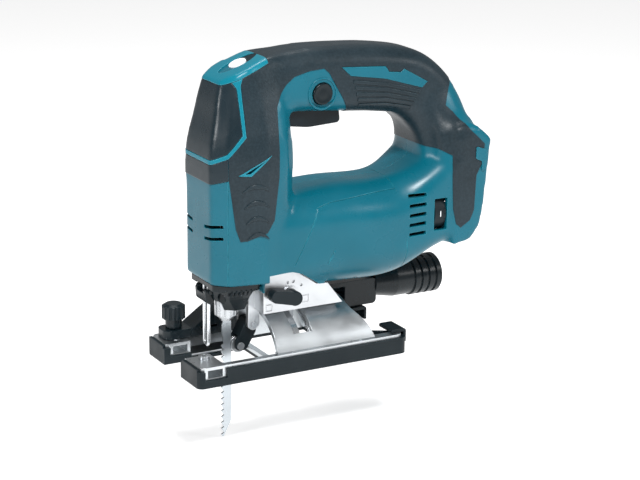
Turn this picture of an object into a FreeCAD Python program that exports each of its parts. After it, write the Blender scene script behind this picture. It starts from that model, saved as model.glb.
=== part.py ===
import FreeCAD, Part
import os
from math import atan2, cos, degrees, pi, radians, sin, sqrt

# Cordless orbital jigsaw. Millimetres. +X is the cutting direction, +Y the tool's left side, +Z up.
# The origin is the centre of the sole's underside.

# ---- Base ----
base_length = 148.0
base_width = 76.0
base_height = 12.5            # top of the side bars above the ground face
cover_thickness = 2.0         # plastic glide cover under and around the casting
cover_lip_height = 10.4
notch_width = 24.0            # front opening, from the front edge back past the blade
bar_web_height = 1.5          # thin inner flange of each bar beside the notch
prong_depth = 19.0            # full-height nose of each bar, holding the rip-fence slot
window_half = 16.0            # wider opening round the guide roller
window_front = 33.0
bar_inner_half = 27.0         # where the full-height bar starts
arch_radius = 35.0            # outside of the bevel arch, centred on the tilt axis
arch_wall = 3.2
arch_front = 17.0
arch_rear = -40.0
notch_depth = base_length / 2 - arch_front
rear_notch_depth = 24.0
rear_notch_half = 20.0
fence_slot_x = base_length / 2 - 12.0           # centre of the rip-fence slot
fence_slot_width = 10.0
fence_slot_low = 5.5
fence_slot_high = 10.5
fence_screw_y = 20.0
base_travel = 6.0             # how far the base can be set back for flush cuts
tilt_limit = 45.0

# ---- Bevel bracket and clamp ----
bracket_half = 21.0
bracket_wall = 3.5
saddle_half = 14.1
saddle_gap = 0.35
bracket_low = 35.2
bracket_high = 60.0
bracket_top = 62.0
bracket_front = 21.3
bevel_bolt_x = -6.0
bevel_bolt_radius = 3.0
shoe_thickness = 2.0
shoe_half_length = 13.0

# ---- Blade, clamp and guides ----
blade_x = 37.0
blade_width = 6.8
blade_thickness = 1.2
blade_tip_z = -51.0
blade_top_z = 38.5
tooth_pitch = 4.0
tooth_depth = 1.7
clamp_low = 30.3
clamp_high = 40.5
clamp_radius = 5.3
clamp_sleeve_radius = 7.2
roller_radius = 5.0
roller_width = 5.2
roller_groove = 1.0
roller_z = 10.8
roller_gap = 0.3
fork_pivot_x = 21.6
fork_pivot_z = 25.0
fork_half = 5.0
pin_radius = 1.5
ear_half = 8.6
guard_wire = 1.1
guard_x = 50.4
guard_half_gap = 3.0
guard_low = 14.0
guard_high = 55.0
release_x = 51.6              # pivot of the blade release lever
release_z = 50.6
lens_y = 13.0

# ---- Drive ----
stroke = 26.0
gear_module = 1.15
gear_teeth = 40
pinion_teeth = 8
gear_width = 6.0
motor_z = 79.5
plunger_radius = 4.0
yoke_half_length = 20.5
crank_roller_radius = 4.0
stator_radius = 23.0
stator_length = 35.0
stator_rear = -56.0
rotor_radius = 12.0
shaft_radius = 2.5
fan_radius = 20.0
running_gap = 0.05
part_gap = 0.3

# ---- Housing ----
skin = 1.6                    # depth of overmoulds and trim set into the shells
wall = 3.2
head_front = 56.0
head_low = 57.0
head_flat_half = 17.5
head_facet = 8.5
head_half = 31.0
head_shoulder = 26.0
handle_half = 18.0
motor_half = 32.0
motor_half_height = 33.0
flange_half = 36.0
flange_rear = -135.5
bay_half = 28.5
bay_depth = 9.0
bay_floor_z = 76.0

# ---- Controls ----
trigger_front = 2.0
trigger_rear = -39.5
trigger_half = 8.0
trigger_pivot_x = trigger_front - 3.0
trigger_pivot_z = 164.0
button_x = -20.7
button_z = 170.0
button_radius = 6.8
button_travel = 4.0
dial_x = -99.5
dial_z = 87.5
dial_radius = 13.5
dial_width = 8.0
lever_pivot_x = 2.6
lever_pivot_z = 44.8
lever_reach = 17.5
lever_radius = 4.2

# ---- Dust nozzle ----
nozzle_y = -27.0
duct_low = 15.5
duct_high = 33.0
duct_half = 8.0
spigot_front = -99.0
spigot_rear = -133.5
spigot_z = 28.3
spigot_radius = 12.3
spigot_bore = 10.4
spigot_ring = 1.0
knob_x = fence_slot_x - 1.5
knob_radius = 7.5
knob_low = 19.0
knob_high = 34.0
knob_post_radius = 3.0

# ---- Derived ----
half_length = base_length / 2
half_width = base_width / 2
notch_half = notch_width / 2
gear_radius = gear_module * gear_teeth / 2
pinion_radius = gear_module * pinion_teeth / 2
gear_z = motor_z + gear_radius + pinion_radius
crank_throw = stroke / 2
blade_rear = blade_x - blade_width / 2
roller_x = blade_rear - (roller_radius - roller_groove) - roller_gap
gear_front = blade_x - plunger_radius - 13.0
bearing_rear = gear_front - gear_width - 10.5
yoke_slot_half = crank_roller_radius + 0.211 * crank_throw + part_gap + 0.1


# ---- Helpers ----
def vec(x, y, z):
    return FreeCAD.Vector(x, y, z)


def box(x0, x1, y0, y1, z0, z1):
    return Part.makeBox(x1 - x0, y1 - y0, z1 - z0, vec(x0, y0, z0))


def rod(radius, start, end):
    start, end = vec(*start), vec(*end)
    return Part.makeCylinder(radius, (end - start).Length, start, end - start)


def ring(outer, inner, start, end):
    return rod(outer, start, end).cut(rod(inner, start, end))


def fuse(*shapes):
    result = shapes[0]
    if len(shapes) > 1:
        result = result.multiFuse(list(shapes[1:]))
    return result.removeSplitter()


def cut(shape, *tools):
    return shape.cut(list(tools)) if tools else shape


def rounded_wire(points):
    """Closed wire through 3-D corner points given as (vector, radius)."""
    count = len(points)
    starts, ends, arcs = [], [], []
    for i, (corner, radius) in enumerate(points):
        before = (points[i - 1][0] - corner)
        after = (points[(i + 1) % count][0] - corner)
        if radius <= 0:
            starts.append(corner)
            ends.append(corner)
            arcs.append(None)
            continue
        angle = before.getAngle(after)
        reach = radius / sin(angle / 2) * cos(angle / 2)
        u, v = before.normalize(), after.normalize()
        bisector = (u + v).normalize()
        centre = corner + bisector * (radius / sin(angle / 2))
        starts.append(corner + u * reach)
        ends.append(corner + v * reach)
        arcs.append(Part.Arc(starts[-1], centre - bisector * radius, ends[-1]).toShape())
    edges = []
    for i in range(count):
        if arcs[i]:
            edges.append(arcs[i])
        following = starts[(i + 1) % count]
        if (following - ends[i]).Length > 1e-6:
            edges.append(Part.LineSegment(ends[i], following).toShape())
    return Part.Wire(edges)


def side_prism(points, y0, y1):
    """Outline in the XZ plane, as (x, z) or (x, z, corner radius), extruded along Y."""
    corners = [(vec(p[0], y0, p[1]), p[2] if len(p) > 2 else 0) for p in points]
    return Part.Face(rounded_wire(corners)).extrude(vec(0, y1 - y0, 0))


def plan_prism(points, z0, z1):
    """Outline in the XY plane, as (x, y) or (x, y, corner radius), extruded along Z."""
    corners = [(vec(p[0], p[1], z0), p[2] if len(p) > 2 else 0) for p in points]
    return Part.Face(rounded_wire(corners)).extrude(vec(0, 0, z1 - z0))


def end_prism(points, x0, x1):
    """Outline in the YZ plane, as (y, z) or (y, z, corner radius), extruded along X."""
    corners = [(vec(x0, p[0], p[1]), p[2] if len(p) > 2 else 0) for p in points]
    return Part.Face(rounded_wire(corners)).extrude(vec(x1 - x0, 0, 0))


def flat_plate(x0, x1, z0, z1):
    """Rectangular face in the XZ plane."""
    corners = [vec(x0, 0, z0), vec(x1, 0, z0), vec(x1, 0, z1), vec(x0, 0, z1), vec(x0, 0, z0)]
    return Part.Face(Part.makePolygon(corners))


def mirrored(shape):
    return shape.mirror(vec(0, 0, 0), vec(0, 1, 0))


def turned(shape, centre, axis, angle):
    copy = shape.copy()
    copy.rotate(vec(*centre), vec(*axis), angle)
    return copy


def moved(shape, x, y, z):
    copy = shape.copy()
    copy.translate(vec(x, y, z))
    return copy


def save(name, shape):
    solids = shape.Solids
    if len(solids) == 1:
        shape = solids[0]
    elif len(solids) > 1:
        shape = Part.makeCompound(solids)
    print(name, len(solids), shape.isValid(), round(sum(s.Volume for s in solids) / 1000, 2))
    shape.exportStep("parts/%s.step" % name)


# ---- Housing body ----
def section(x, z, slope, half_height, half_wide, corner):
    """Rounded rectangle across a path that climbs at slope degrees in the XZ plane."""
    up = vec(-sin(radians(slope)), 0, cos(radians(slope)))
    centre = vec(x, 0, z)
    signs = ((1, 1), (1, -1), (-1, -1), (-1, 1))
    return rounded_wire([(centre + up * (half_height * a) + vec(0, half_wide * b, 0), corner)
                         for a, b in signs])


def loft(stations, inset):
    wires = [section(x, z, slope, hh - inset, hw - inset, max(corner - inset, 1.0))
             for x, z, slope, hh, hw, corner in stations]
    return Part.makeLoft(wires, True, False)


def head(inset):
    levels = [
        (head_low, 0.0, head_flat_half, head_shoulder, head_half),
        (137.0, 0.0, head_flat_half, head_shoulder, head_half),
        (160.0, -4.3, head_flat_half - 2.5, head_shoulder - 3.0, head_half - 5.0),
        (177.0, -7.8, head_flat_half - 4.5, head_shoulder - 6.5, head_half - 10.0),
        (205.0, -16.0, head_flat_half - 8.0, head_shoulder - 12.0, head_half - 15.0),
    ]
    wires = []
    for number, (z, shift, flat, shoulder, wide) in enumerate(levels):
        front = head_front + shift - inset
        half = [
            (front, flat - 0.4 * inset),
            (front - head_facet, shoulder - 0.9 * inset),
            (24.0, wide - inset),
            (9.0, wide - inset - 2.0),
            (inset, wide - inset - 11.0),
        ]
        outline = half + [(x, -y) for x, y in reversed(half)]
        level = z + inset if number == 0 else z
        wires.append(Part.makePolygon([vec(x, y, level) for x, y in outline + outline[:1]]))
    solid = Part.makeLoft(wires, True, True)
    roof = [(70 - inset, 50), (70 - inset, 186 - inset), (46 - inset, 182.5 - inset),
            (41, 185.4 - inset), (16, 195.4 - inset), (-7, 198.0 - inset), (-10, 198.0), (-10, 50)]
    return solid.common(side_prism(roof, -60, 60))


def handle(inset):
    return loft([
        (18.0, 175.6, 175, 18.8, handle_half, 9.0),
        (-6.0, 177.8, 179, 20.0, handle_half, 11.0),
        (-35.0, 176.7, 182, 21.0, handle_half, 11.5),
        (-64.0, 174.4, 187, 21.3, handle_half, 12.0),
        (-88.0, 169.0, 208, 21.2, handle_half + 0.3, 11.5),
        (-105.0, 153.0, 238, 20.3, handle_half + 1.5, 10.5),
        (-112.0, 134.0, 258, 19.6, handle_half + 5.0, 10.0),
        (-113.0, 112.0, 270, 19.4, handle_half + 9.0, 10.0),
    ], inset)


def motor_case(inset):
    return loft([
        (24.0 - inset, motor_z + 4, 180, 20.0, motor_half - 5, 14.0),
        (4.0, motor_z, 180, 30.0, motor_half - 1, 20.0),
        (-30.0, motor_z, 180, motor_half_height, motor_half, 24.0),
        (-72.0, motor_z, 180, motor_half_height, motor_half, 24.0),
        (-100.0, motor_z + 14.0, 180, 31.0, motor_half + 1.5, 15.0),
        (-121.0 + inset, motor_z + 25.5, 180, 33.0, flange_half - 1.5, 9.0),
    ], inset)


def flange(inset):
    outline = [
        (-108.0 - inset, 65.5 + inset, 3), (-121.5, 68.0 + inset, 8),
        (-128.5 + inset, 76.5 + inset, 6), (-131.0 + inset, 88.0, 20),
        (flange_rear + inset, 134.0 - inset, 4), (-121.0, 146.5 - inset, 12),
        (-108.0 - inset, 144.0 - inset, 3),
    ]
    return side_prism(outline, -flange_half + inset, flange_half - inset)


def neck(inset):
    outline = [(25.0 - inset, 68.0), (22.5 - inset, 48.0 + inset, 3),
               (-19.0 + inset, 45.5 + inset, 3), (-26.0 + inset, 60.0), (-30.0, 68.0)]
    return side_prism(outline, -24.0 + inset, 24.0 - inset)


def housing_body(inset):
    return fuse(head(inset), handle(inset), motor_case(inset), flange(inset), neck(inset))


def through_y(points):
    return side_prism(points, -60, 60)


side_zone = [
    (47.6, 124.5), (39.5, 86.7, 4), (23.0, 93.5, 6), (18.0, 101.0, 6), (18.0, 150.0, 12),
    (7.0, 171.0, 8), (-19.0, 186.0, 5), (-28.0, 182.0, 4), (-38.5, 154.0), (-40.0, 140.0), (-88.0, 140.0),
    (-97.0, 127.5, 6), (-112.0, 122.0, 2), (-113.0, 80.0, 2), (-116.0, 74.5, 2), (-125.5, 82.0, 3),
    (-126.8, 108.0, 3), (-120.0, 145.0), (-140.0, 212.0), (16.5, 212.0), (16.5, 192.0), (36.0, 184.0),
    (36.0, 149.5), (47.6, 135.5)]
band_zone = [(47.6, 124.5), (57.0, 122.0), (62.0, 122.0), (62.0, 134.5), (57.0, 134.5), (47.6, 135.5)]
trim_zone = [(62.0, 134.5), (57.0, 134.5), (47.6, 135.5), (36.0, 149.5), (36.0, 184.0),
             (38.6, 183.09), (38.6, 151.5), (48.0, 139.5), (57.0, 138.5), (62.0, 138.5)]
cap_zone = [(62.0, 138.5), (57.0, 138.5), (48.0, 139.5), (38.6, 151.5), (38.6, 183.09), (46.0, 180.5),
            (60.0, 179.5)]
top_zone = [(60.0, 179.5), (46.0, 180.5), (36.0, 184.0), (16.5, 192.0), (16.5, 212.0), (60.0, 212.0)]
cover_zone = [(62.0, 122.0), (57.0, 122.0), (47.6, 124.5), (47.6, 50.0), (62.0, 50.0)]


def shell_cuts(gap=0.0):
    """Openings through the shells: controls, bracket, dial window, louvres and the battery bay."""
    tools = [
        side_prism(bracket_outline(0.5), -60, 60),
        box(-60, 30, -bracket_half - 0.5, bracket_half + 0.5, 20, bracket_low + 10.8),
        rod(button_radius + part_gap, (button_x, -40, button_z), (button_x, 40, button_z)),
        box(trigger_rear - 1.2, trigger_front + 1.0, -trigger_half - 0.5, trigger_half + 0.5, 140, 176),
        box(dial_x - dial_width / 2 - 0.7, dial_x + dial_width / 2 + 0.7, 20, 60,
            dial_z - 10.5, dial_z + 10.5),
        box(flange_rear - 5, flange_rear + bay_depth, -bay_half, bay_half, bay_floor_z, 122.0),
        end_prism([(-bay_half, 122.0), (bay_half, 122.0), (bay_half, 160.0), (-bay_half, 160.0)],
                  flange_rear - 5, flange_rear + bay_depth),
        rod(9.0, (blade_x, 0, head_low - 5), (blade_x, 0, head_low + 10)),
        box(22.9, 60, -30, 30, 40, head_low - 0.02),
    ]
    for number in range(5):
        z = 75.5 + number * 6.2
        slot = side_prism([(-77.5, z), (-91.0, z + 1.2), (-91.0, z + 3.2), (-77.5, z + 2.0)], 20, 60)
        tools += [slot, mirrored(slot)]
    vent = side_prism([(35.5, 121.5, 0.6), (23.5, 134.0, 0.6), (31.5, 120.5, 0.6)], 18, 60)
    tools += [vent, mirrored(vent)]
    return tools


def bracket_outline(grow):
    return [
        (bracket_front + grow, bracket_low - grow), (bracket_front + grow, bracket_top + grow, 2),
        (5.0, bracket_top + grow, 8), (-1.5, bracket_high + grow, 6),
        (-16.0 - grow, 50.0 + grow, 2), (-24.0 - grow, 49.5 + grow, 2), (-35.0 - grow, bracket_low + grow, 1),
        (-34.5 - grow, bracket_low - grow)]


screw_places = [(8.0, 188.0), (-50.0, 187.5), (-98.0, 168.0), (-106.0, 132.0), (-84.0, 107.0),
                (-84.0, 54.0), (8.5, 160.0)]


def bosses():
    columns = []
    for x, z in screw_places:
        columns.append(rod(4.2, (x, -40, z), (x, 40, z)))
    return columns


def housing():
    outer = housing_body(0)
    under_skin = housing_body(skin)
    cavity = housing_body(wall)
    rind = outer.cut(under_skin)
    cuts = shell_cuts()
    shell = fuse(outer.cut(cavity), *[column.common(under_skin) for column in bosses()])
    bay_wall = box(flange_rear + bay_depth - 0.01, flange_rear + bay_depth + 2.4,
                   -flange_half + 3, flange_half - 3, 73, 141).common(under_skin)
    shell = fuse(shell, bay_wall)
    screw_holes = []
    for x, z in screw_places:
        screw_holes.append(rod(1.5 + running_gap, (x, -60, z), (x, 9.0, z)))
        screw_holes.append(rod(3.4, (x, -60, z), (x, -handle_half + 6.0, z)))
    shell = cut(shell, *cuts, *screw_holes)
    zones = {
        "side": through_y(side_zone), "band": through_y(band_zone), "trim": through_y(trim_zone),
        "cap": through_y(cap_zone), "top": through_y(top_zone), "cover": through_y(cover_zone),
    }
    skins = {name: cut(rind.common(zone), *cuts, *screw_holes) for name, zone in zones.items()}
    for name in ("side", "band", "trim", "cap", "top"):
        shell = shell.cut(skins[name])
    front_cover = shell.common(zones["cover"])
    shell = shell.cut(zones["cover"])
    left, right = box(-200, 100, 0, 60, 0, 260), box(-200, 100, -60, 0, 0, 260)
    save("housing_left", biggest(shell.common(left)))
    save("housing_right", biggest(shell.common(right)))
    slots = []
    for side in (1, -1):
        for number in range(2):
            z = 94.5 - number * 7.5
            slot = box(40, 70, -8.5, 8.5, -1.1, 1.1)
            slot = moved(turned(slot, (0, 0, 0), (1, 0, 0), 8 * side), 0, side * 15.5, z)
            slots.append(slot)
    save("front_cover", biggest(cut(front_cover, *slots)))
    save("grip_left", skins["side"].common(left))
    save("grip_right", skins["side"].common(right))
    save("front_band", skins["band"])
    save("chevron_trim", skins["trim"])
    save("front_cap", skins["cap"])
    top_slope = degrees(atan2(10.6, 25.0))
    badge_x, badge_z = 29.5, 190.2
    recess = moved(turned(Part.makeCylinder(8.4, 6, vec(0, 0, -1.1)), (0, 0, 0), (0, 1, 0), top_slope),
                   badge_x, 0, badge_z)
    badge = moved(turned(Part.makeCylinder(8.1, 1.2, vec(0, 0, -1.1)), (0, 0, 0), (0, 1, 0), top_slope),
                  badge_x, 0, badge_z)
    save("top_frame", biggest(skins["top"].cut(recess)))
    save("top_badge", badge)
    seat = -handle_half + 6.0
    screws = [fuse(rod(1.5, (x, seat - 0.1, z), (x, 8.5, z)), rod(3.1, (x, seat - 2.6, z), (x, seat, z)))
              for x, z in screw_places]
    save("housing_screws", Part.makeCompound(screws))


def biggest(shape):
    """The main solid of a cut, without crumbs left where surfaces graze."""
    return max(shape.Solids, key=lambda solid: solid.Volume)


# ---- Base ----
def base_outline(inset, height_low, height_high):
    """Plan of the base: two bars joined behind the blade, notched at the front and the rear."""
    x1, x0, y = half_length - inset, -half_length + inset, half_width - inset
    slab = plan_prism([(x1, -y, 4), (x1, y, 4), (x0, y, 5), (x0, -y, 5)], height_low, height_high)
    notch_end = half_length - notch_depth - inset
    rear = -half_length + rear_notch_depth + inset
    narrow, wide = notch_half + inset, window_half + inset
    front_notch = plan_prism([(x1 + 9, -narrow), (x1 + 9, narrow), (window_front, narrow),
                              (window_front - 3, wide, 3), (notch_end, wide, 3), (notch_end, -wide, 3),
                              (window_front - 3, -wide, 3), (window_front, -narrow)], height_low, height_high)
    mouth = rear_notch_half + 9 + inset
    rear_notch = plan_prism([(x0 - 9, mouth), (rear, rear_notch_half * 0.5, 12), (rear,
        -rear_notch_half * 0.5, 12),
                             (x0 - 9, -mouth)], height_low, height_high)
    return cut(slab, front_notch, rear_notch)


def base_casting():
    low = cover_thickness + 0.02
    plan = base_outline(cover_thickness + 0.02, low, base_height)
    inner_y = bar_inner_half
    thin = fuse(
        box(arch_front + 0.5, half_length + 1, -inner_y, inner_y, low + bar_web_height, base_height + 1),
        box(-half_length - 1, arch_rear - 0.5, -inner_y + 6, inner_y - 6, low + bar_web_height,
            base_height + 1))
    prong_rear = half_length - prong_depth
    prongs = box(prong_rear, half_length, -half_width, half_width, low, base_height)
    body = plan.cut(thin.cut(prongs))
    slope = end_prism([(inner_y - 0.01, low + bar_web_height), (inner_y + 5.0, base_height + 0.01),
                       (inner_y - 0.01, base_height + 0.01)], arch_front + 0.5, prong_rear)
    body = cut(body, slope, mirrored(slope))
    arch = rod(arch_radius, (arch_rear, 0, 0), (arch_front, 0, 0)).common(
        box(arch_rear, arch_front, -60, 60, low, 60))
    tail = plan_prism([(arch_rear - 14, 34.5), (arch_rear + 1, 34.5), (arch_rear + 1, -34.5),
                       (arch_rear - 14, -34.5), (arch_rear - 1, -18, 12), (arch_rear - 1, 18, 12)], low, 60)
    tail = tail.common(rod(arch_radius, (arch_rear - 14, 0, 0), (arch_rear + 2, 0, 0)))
    hollow = rod(arch_radius - arch_wall, (arch_rear - 30, 0, 0), (arch_front + 1, 0, 0))
    body = fuse(body, arch, tail).cut(hollow.common(box(-90, arch_front + 1, -60, 60, low + 2.4, 60)))
    under = rod(arch_radius - arch_wall, (arch_rear + 4, 0, 0), (arch_front - 4, 0, 0))
    body = body.cut(under)
    body = body.cut(tilt_window(bevel_bolt_radius + 0.6, base_travel, 14.0))
    fence = box(fence_slot_x - fence_slot_width / 2, fence_slot_x + fence_slot_width / 2,
                -60, 60, fence_slot_low, fence_slot_high)
    for side in (1, -1):
        y = side * fence_screw_y
        screw = rod(2.2, (fence_slot_x, y, fence_slot_high - 1), (fence_slot_x, y, 20))
        body = body.cut(screw)
    body = body.cut(fence)
    groove = plan_prism([(-42.0, 33.4, 0.9), (8.0, 33.4, 0.9), (8.0, 35.6, 0.9), (-42.0, 35.6, 0.9)],
                        base_height - 0.7, 20)
    body = body.cut(groove)
    post = rod(knob_post_radius + 0.4, (knob_x, nozzle_y, fence_slot_high - 1), (knob_x, nozzle_y, 20))
    return body.cut(post)


def tilt_window(half_slot, travel, depth):
    """Slot swept round the tilt axis: the bolt's path as the base tilts, lengthened by the base's travel."""
    front, rear = bevel_bolt_x + half_slot + travel, bevel_bolt_x - half_slot
    low, high = arch_radius - depth, arch_radius + 3
    profile = flat_plate(rear, front, low, high)
    spare = degrees(half_slot / (arch_radius - arch_wall - shoe_thickness))
    profile.rotate(vec(0, 0, 0), vec(1, 0, 0), spare)
    return profile.revolve(vec(0, 0, 0), vec(1, 0, 0), -(tilt_limit + 2 * spare))


def base_cover():
    outer = base_outline(0.0, 0.0, cover_lip_height)
    inner = base_outline(cover_thickness, cover_thickness, 40)
    under = rod(arch_radius - arch_wall, (arch_rear + 4, 0, 0), (arch_front - 4, 0, 0))
    fence = box(fence_slot_x - fence_slot_width / 2 - 2.5, fence_slot_x + fence_slot_width / 2 + 2.5,
                -60, 60, fence_slot_low - 0.8, 40)
    cover = cut(outer, inner, under, fence)
    cover = cover.cut(box(half_length - notch_depth - 3, half_length - prong_depth, -window_half - 2.2,
                          window_half + 2.2, cover_thickness, 40))
    hooks = []
    for side in (1, -1):
        base = (-half_length, side * (half_width - 13.0))
        hook = side_prism([(base[0] - 1.6, 6.0), (base[0] + 0.01, 6.0), (base[0] + 0.01, base_height + 0.3),
                           (base[0] + 9.0, base_height + 0.3), (base[0] + 9.0, base_height + 2.4, 1),
                           (base[0] - 1.6, base_height + 2.4, 2)], base[1] - 8.0, base[1] + 8.0)
        hooks.append(hook)
    cover = fuse(cover, *hooks)
    caps = []
    for side in (1, -1):
        y0, y1 = sorted((side * (notch_half + 2.4), side * (half_width - 3)))
        caps.append(box(half_length - 2.0, half_length, y0, y1, 1.0, base_height - 0.6))
    return fuse(cover, *caps)


# ---- Bevel bracket ----
def bevel_bracket():
    arc_z = sqrt((arch_radius + saddle_gap) ** 2 - saddle_half ** 2)
    block = end_prism([(-bracket_half, bracket_high + 6), (-bracket_half, bracket_low),
                       (-saddle_half, bracket_low), (-saddle_half, arc_z - 4), (saddle_half, arc_z - 4),
                       (saddle_half, bracket_low), (bracket_half, bracket_low),
                       (bracket_half, bracket_high + 6)], -40, bracket_front)
    block = block.cut(rod(arch_radius + saddle_gap, (-60, 0, 0), (40, 0, 0)))
    outline = bracket_outline(0)
    outline = outline[:-1] + [(-34.5, 20.0), (arch_front + 0.2, 20.0), (arch_front + 0.2, bracket_low - 0.01)]
    outline[0] = (bracket_front, bracket_low)
    block = block.common(side_prism(outline[:-1] + [outline[-1]], -60, 60))
    inner = bracket_half - bracket_wall
    pocket = side_prism([(bracket_front - 3.0, 43.0), (bracket_front - 3.0, 80.0), (-45.0, 80.0), (-45.0,
        43.0)],
                        -inner, inner)
    block = block.cut(pocket)
    ears = []
    for side in (1, -1):
        y0, y1 = sorted((side * (fork_half + 0.5), side * ear_half))
        ears.append(side_prism([(arch_front + 0.9, 40.0), (arch_front + 0.9, 24.0, 2), (fork_pivot_x, 20.5,
            3),
                                (fork_pivot_x + 4.3, 23.5, 3), (fork_pivot_x + 3.6, 47.0)], y0, y1))
    bridge = box(bracket_front - 6.0, fork_pivot_x + 3.4, -ear_half, ear_half, 38.5, 47.0)
    block = fuse(block, bridge, *ears)
    pin = rod(pin_radius + 0.02, (fork_pivot_x, -20, fork_pivot_z), (fork_pivot_x, 20, fork_pivot_z))
    bolt = rod(bevel_bolt_radius, (bevel_bolt_x, 0, 20), (bevel_bolt_x, 0, 60))
    shaft = rod(3.0 + running_gap, (lever_pivot_x, -40, lever_pivot_z), (lever_pivot_x, 40, lever_pivot_z))
    dimples = [rod(1.0, (x, bracket_half - 0.8, z), (x, 40, z)) for x, z in ((4.8, 53.6), (0.6, 53.8),
                                                                             (-5.0, 50.8))]
    marks = []
    for x, z, size in ((-8.0, 41.5, 5.0), (17.5, 39.0, 4.6)):
        square = box(x - size / 2, x + size / 2, bracket_half - 0.4, 40, z - size / 2, z + size / 2)
        marks.append(square.cut(box(x - size / 2 + 0.6, x + size / 2 - 0.6, 0, 60, z - size / 2 + 0.6,
                                    z + size / 2 - 0.6)))
    return cut(block, pin, bolt, shaft, *dimples, *marks)


def bevel_shoe():
    """Curved clamping shoe inside the arch: it turns with the base and the base slides along it."""
    outer = arch_radius - arch_wall - 0.3
    inner = outer - shoe_thickness
    span = degrees(shoe_half_length / outer) + tilt_limit
    profile = flat_plate(bevel_bolt_x - 9.0, bevel_bolt_x + 9.0, inner, outer)
    start = degrees(shoe_half_length / outer)
    profile.rotate(vec(0, 0, 0), vec(1, 0, 0), start)
    shoe = profile.revolve(vec(0, 0, 0), vec(1, 0, 0), -span - start * 0.6)
    slot = tilt_window(bevel_bolt_radius + 0.4, 0.0, 14.0)
    return shoe.cut(slot)


def bevel_bolt():
    low = arch_radius - arch_wall - shoe_thickness - 0.9
    head_points = [(bevel_bolt_x + 5.0 * cos(radians(60 * i)), 5.0 * sin(radians(60 * i))) for i in range(6)]
    hexagon = plan_prism(head_points, low - 5.0, low)
    washer = rod(7.0, (bevel_bolt_x, 0, low - 0.01), (bevel_bolt_x, 0, low + 0.4))
    washer = washer.common(rod(arch_radius - arch_wall - shoe_thickness - 0.6, (-60, 0, 0), (60, 0, 0)))
    return fuse(hexagon, washer, rod(bevel_bolt_radius - 0.02, (bevel_bolt_x, 0, low), (bevel_bolt_x, 0,
        42.5)))


def orbital_lever():
    y0, y1 = bracket_half + 0.8, bracket_half + 8.5
    axis_z = lever_pivot_z
    hub = rod(4.6, (lever_pivot_x, y0, axis_z), (lever_pivot_x, y1 - 1.0, axis_z))
    tilt = 12.5
    bar = side_prism([(-lever_radius, -lever_radius, lever_radius - 0.1), (lever_reach,
                                                                           -lever_radius + 0.4, 3.5),
                      (lever_reach, lever_radius - 0.4, 3.5), (-lever_radius, lever_radius,
                                                               lever_radius - 0.1)],
                     y0 + 1.6, y1)
    bar = moved(turned(bar, (0, 0, 0), (0, 1, 0), -tilt), lever_pivot_x, 0, axis_z)
    shaft = rod(3.0, (lever_pivot_x, -bracket_half + 1.0, axis_z), (lever_pivot_x, y0 + 0.5, axis_z))
    flat = box(lever_pivot_x - 4, lever_pivot_x + 4, -8.0, 8.0, axis_z + 1.4, axis_z + 4)
    return fuse(hub, bar, shaft.cut(flat))


def lever_washer():
    return ring(6.2, 3.3, (lever_pivot_x, bracket_half + 0.05, lever_pivot_z),
                (lever_pivot_x, bracket_half + 0.7, lever_pivot_z))


# ---- Blade and guides ----
def blade():
    half = blade_thickness / 2
    front, rear = blade_x + blade_width / 2, blade_rear
    outline = [(rear, blade_top_z), (rear + 0.01, clamp_low - 6.0), (rear, clamp_low - 9.0), (rear, -39.5,
        1.0),
               (front - 1.0, blade_tip_z, 0.6)]
    teeth = int((clamp_low - 13.0 - blade_tip_z) / tooth_pitch) - 1
    for number in range(teeth):
        z = blade_tip_z + 2.5 + number * tooth_pitch
        outline += [(front, z), (front - tooth_depth, z + 0.9)]
    outline += [(front - 0.3, clamp_low - 10.5), (front - 0.3, clamp_low - 5.0), (front - 1.2,
        clamp_low - 3.0),
                (front - 1.2, blade_top_z)]
    return side_prism(outline, -half, half)


def clamp_body():
    body = rod(clamp_radius, (blade_x, 0, clamp_low), (blade_x, 0, clamp_high))
    cone = Part.makeCone(clamp_radius - 1.2, clamp_radius, 2.0, vec(blade_x, 0, clamp_low - 1.99))
    body = fuse(body, cone)
    slot = box(blade_rear - 0.1, blade_x + 3.1, -blade_thickness / 2 - 0.05, blade_thickness / 2 + 0.05,
               clamp_low - 5, blade_top_z + 0.1)
    socket = rod(2.6, (blade_x, 0, blade_top_z + 0.1), (blade_x, 0, clamp_high + 1))
    return cut(body, slot, socket)


def clamp_sleeve():
    low, high = clamp_low + 1.5, clamp_high + 3.0
    sleeve = ring(clamp_sleeve_radius, clamp_radius + running_gap, (blade_x, 0, low), (blade_x, 0,
        high - 4.5))
    cap = rod(clamp_sleeve_radius, (blade_x, 0, high - 4.5), (blade_x, 0, high))
    cap = cap.cut(rod(clamp_radius + running_gap, (blade_x, 0, low), (blade_x, 0, high + 1)))
    tab = box(blade_x - 2.0, blade_x + 2.0, clamp_sleeve_radius - 1.0, clamp_sleeve_radius + 1.6,
              high - 4.0, high)
    grooves = []
    for number in range(12):
        angle = radians(number * 30)
        x, y = blade_x + clamp_sleeve_radius * cos(angle), clamp_sleeve_radius * sin(angle)
        grooves.append(rod(0.5, (x, y, low - 1), (x, y, high - 5.0)))
    return cut(fuse(sleeve, cap, tab), *grooves)


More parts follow.
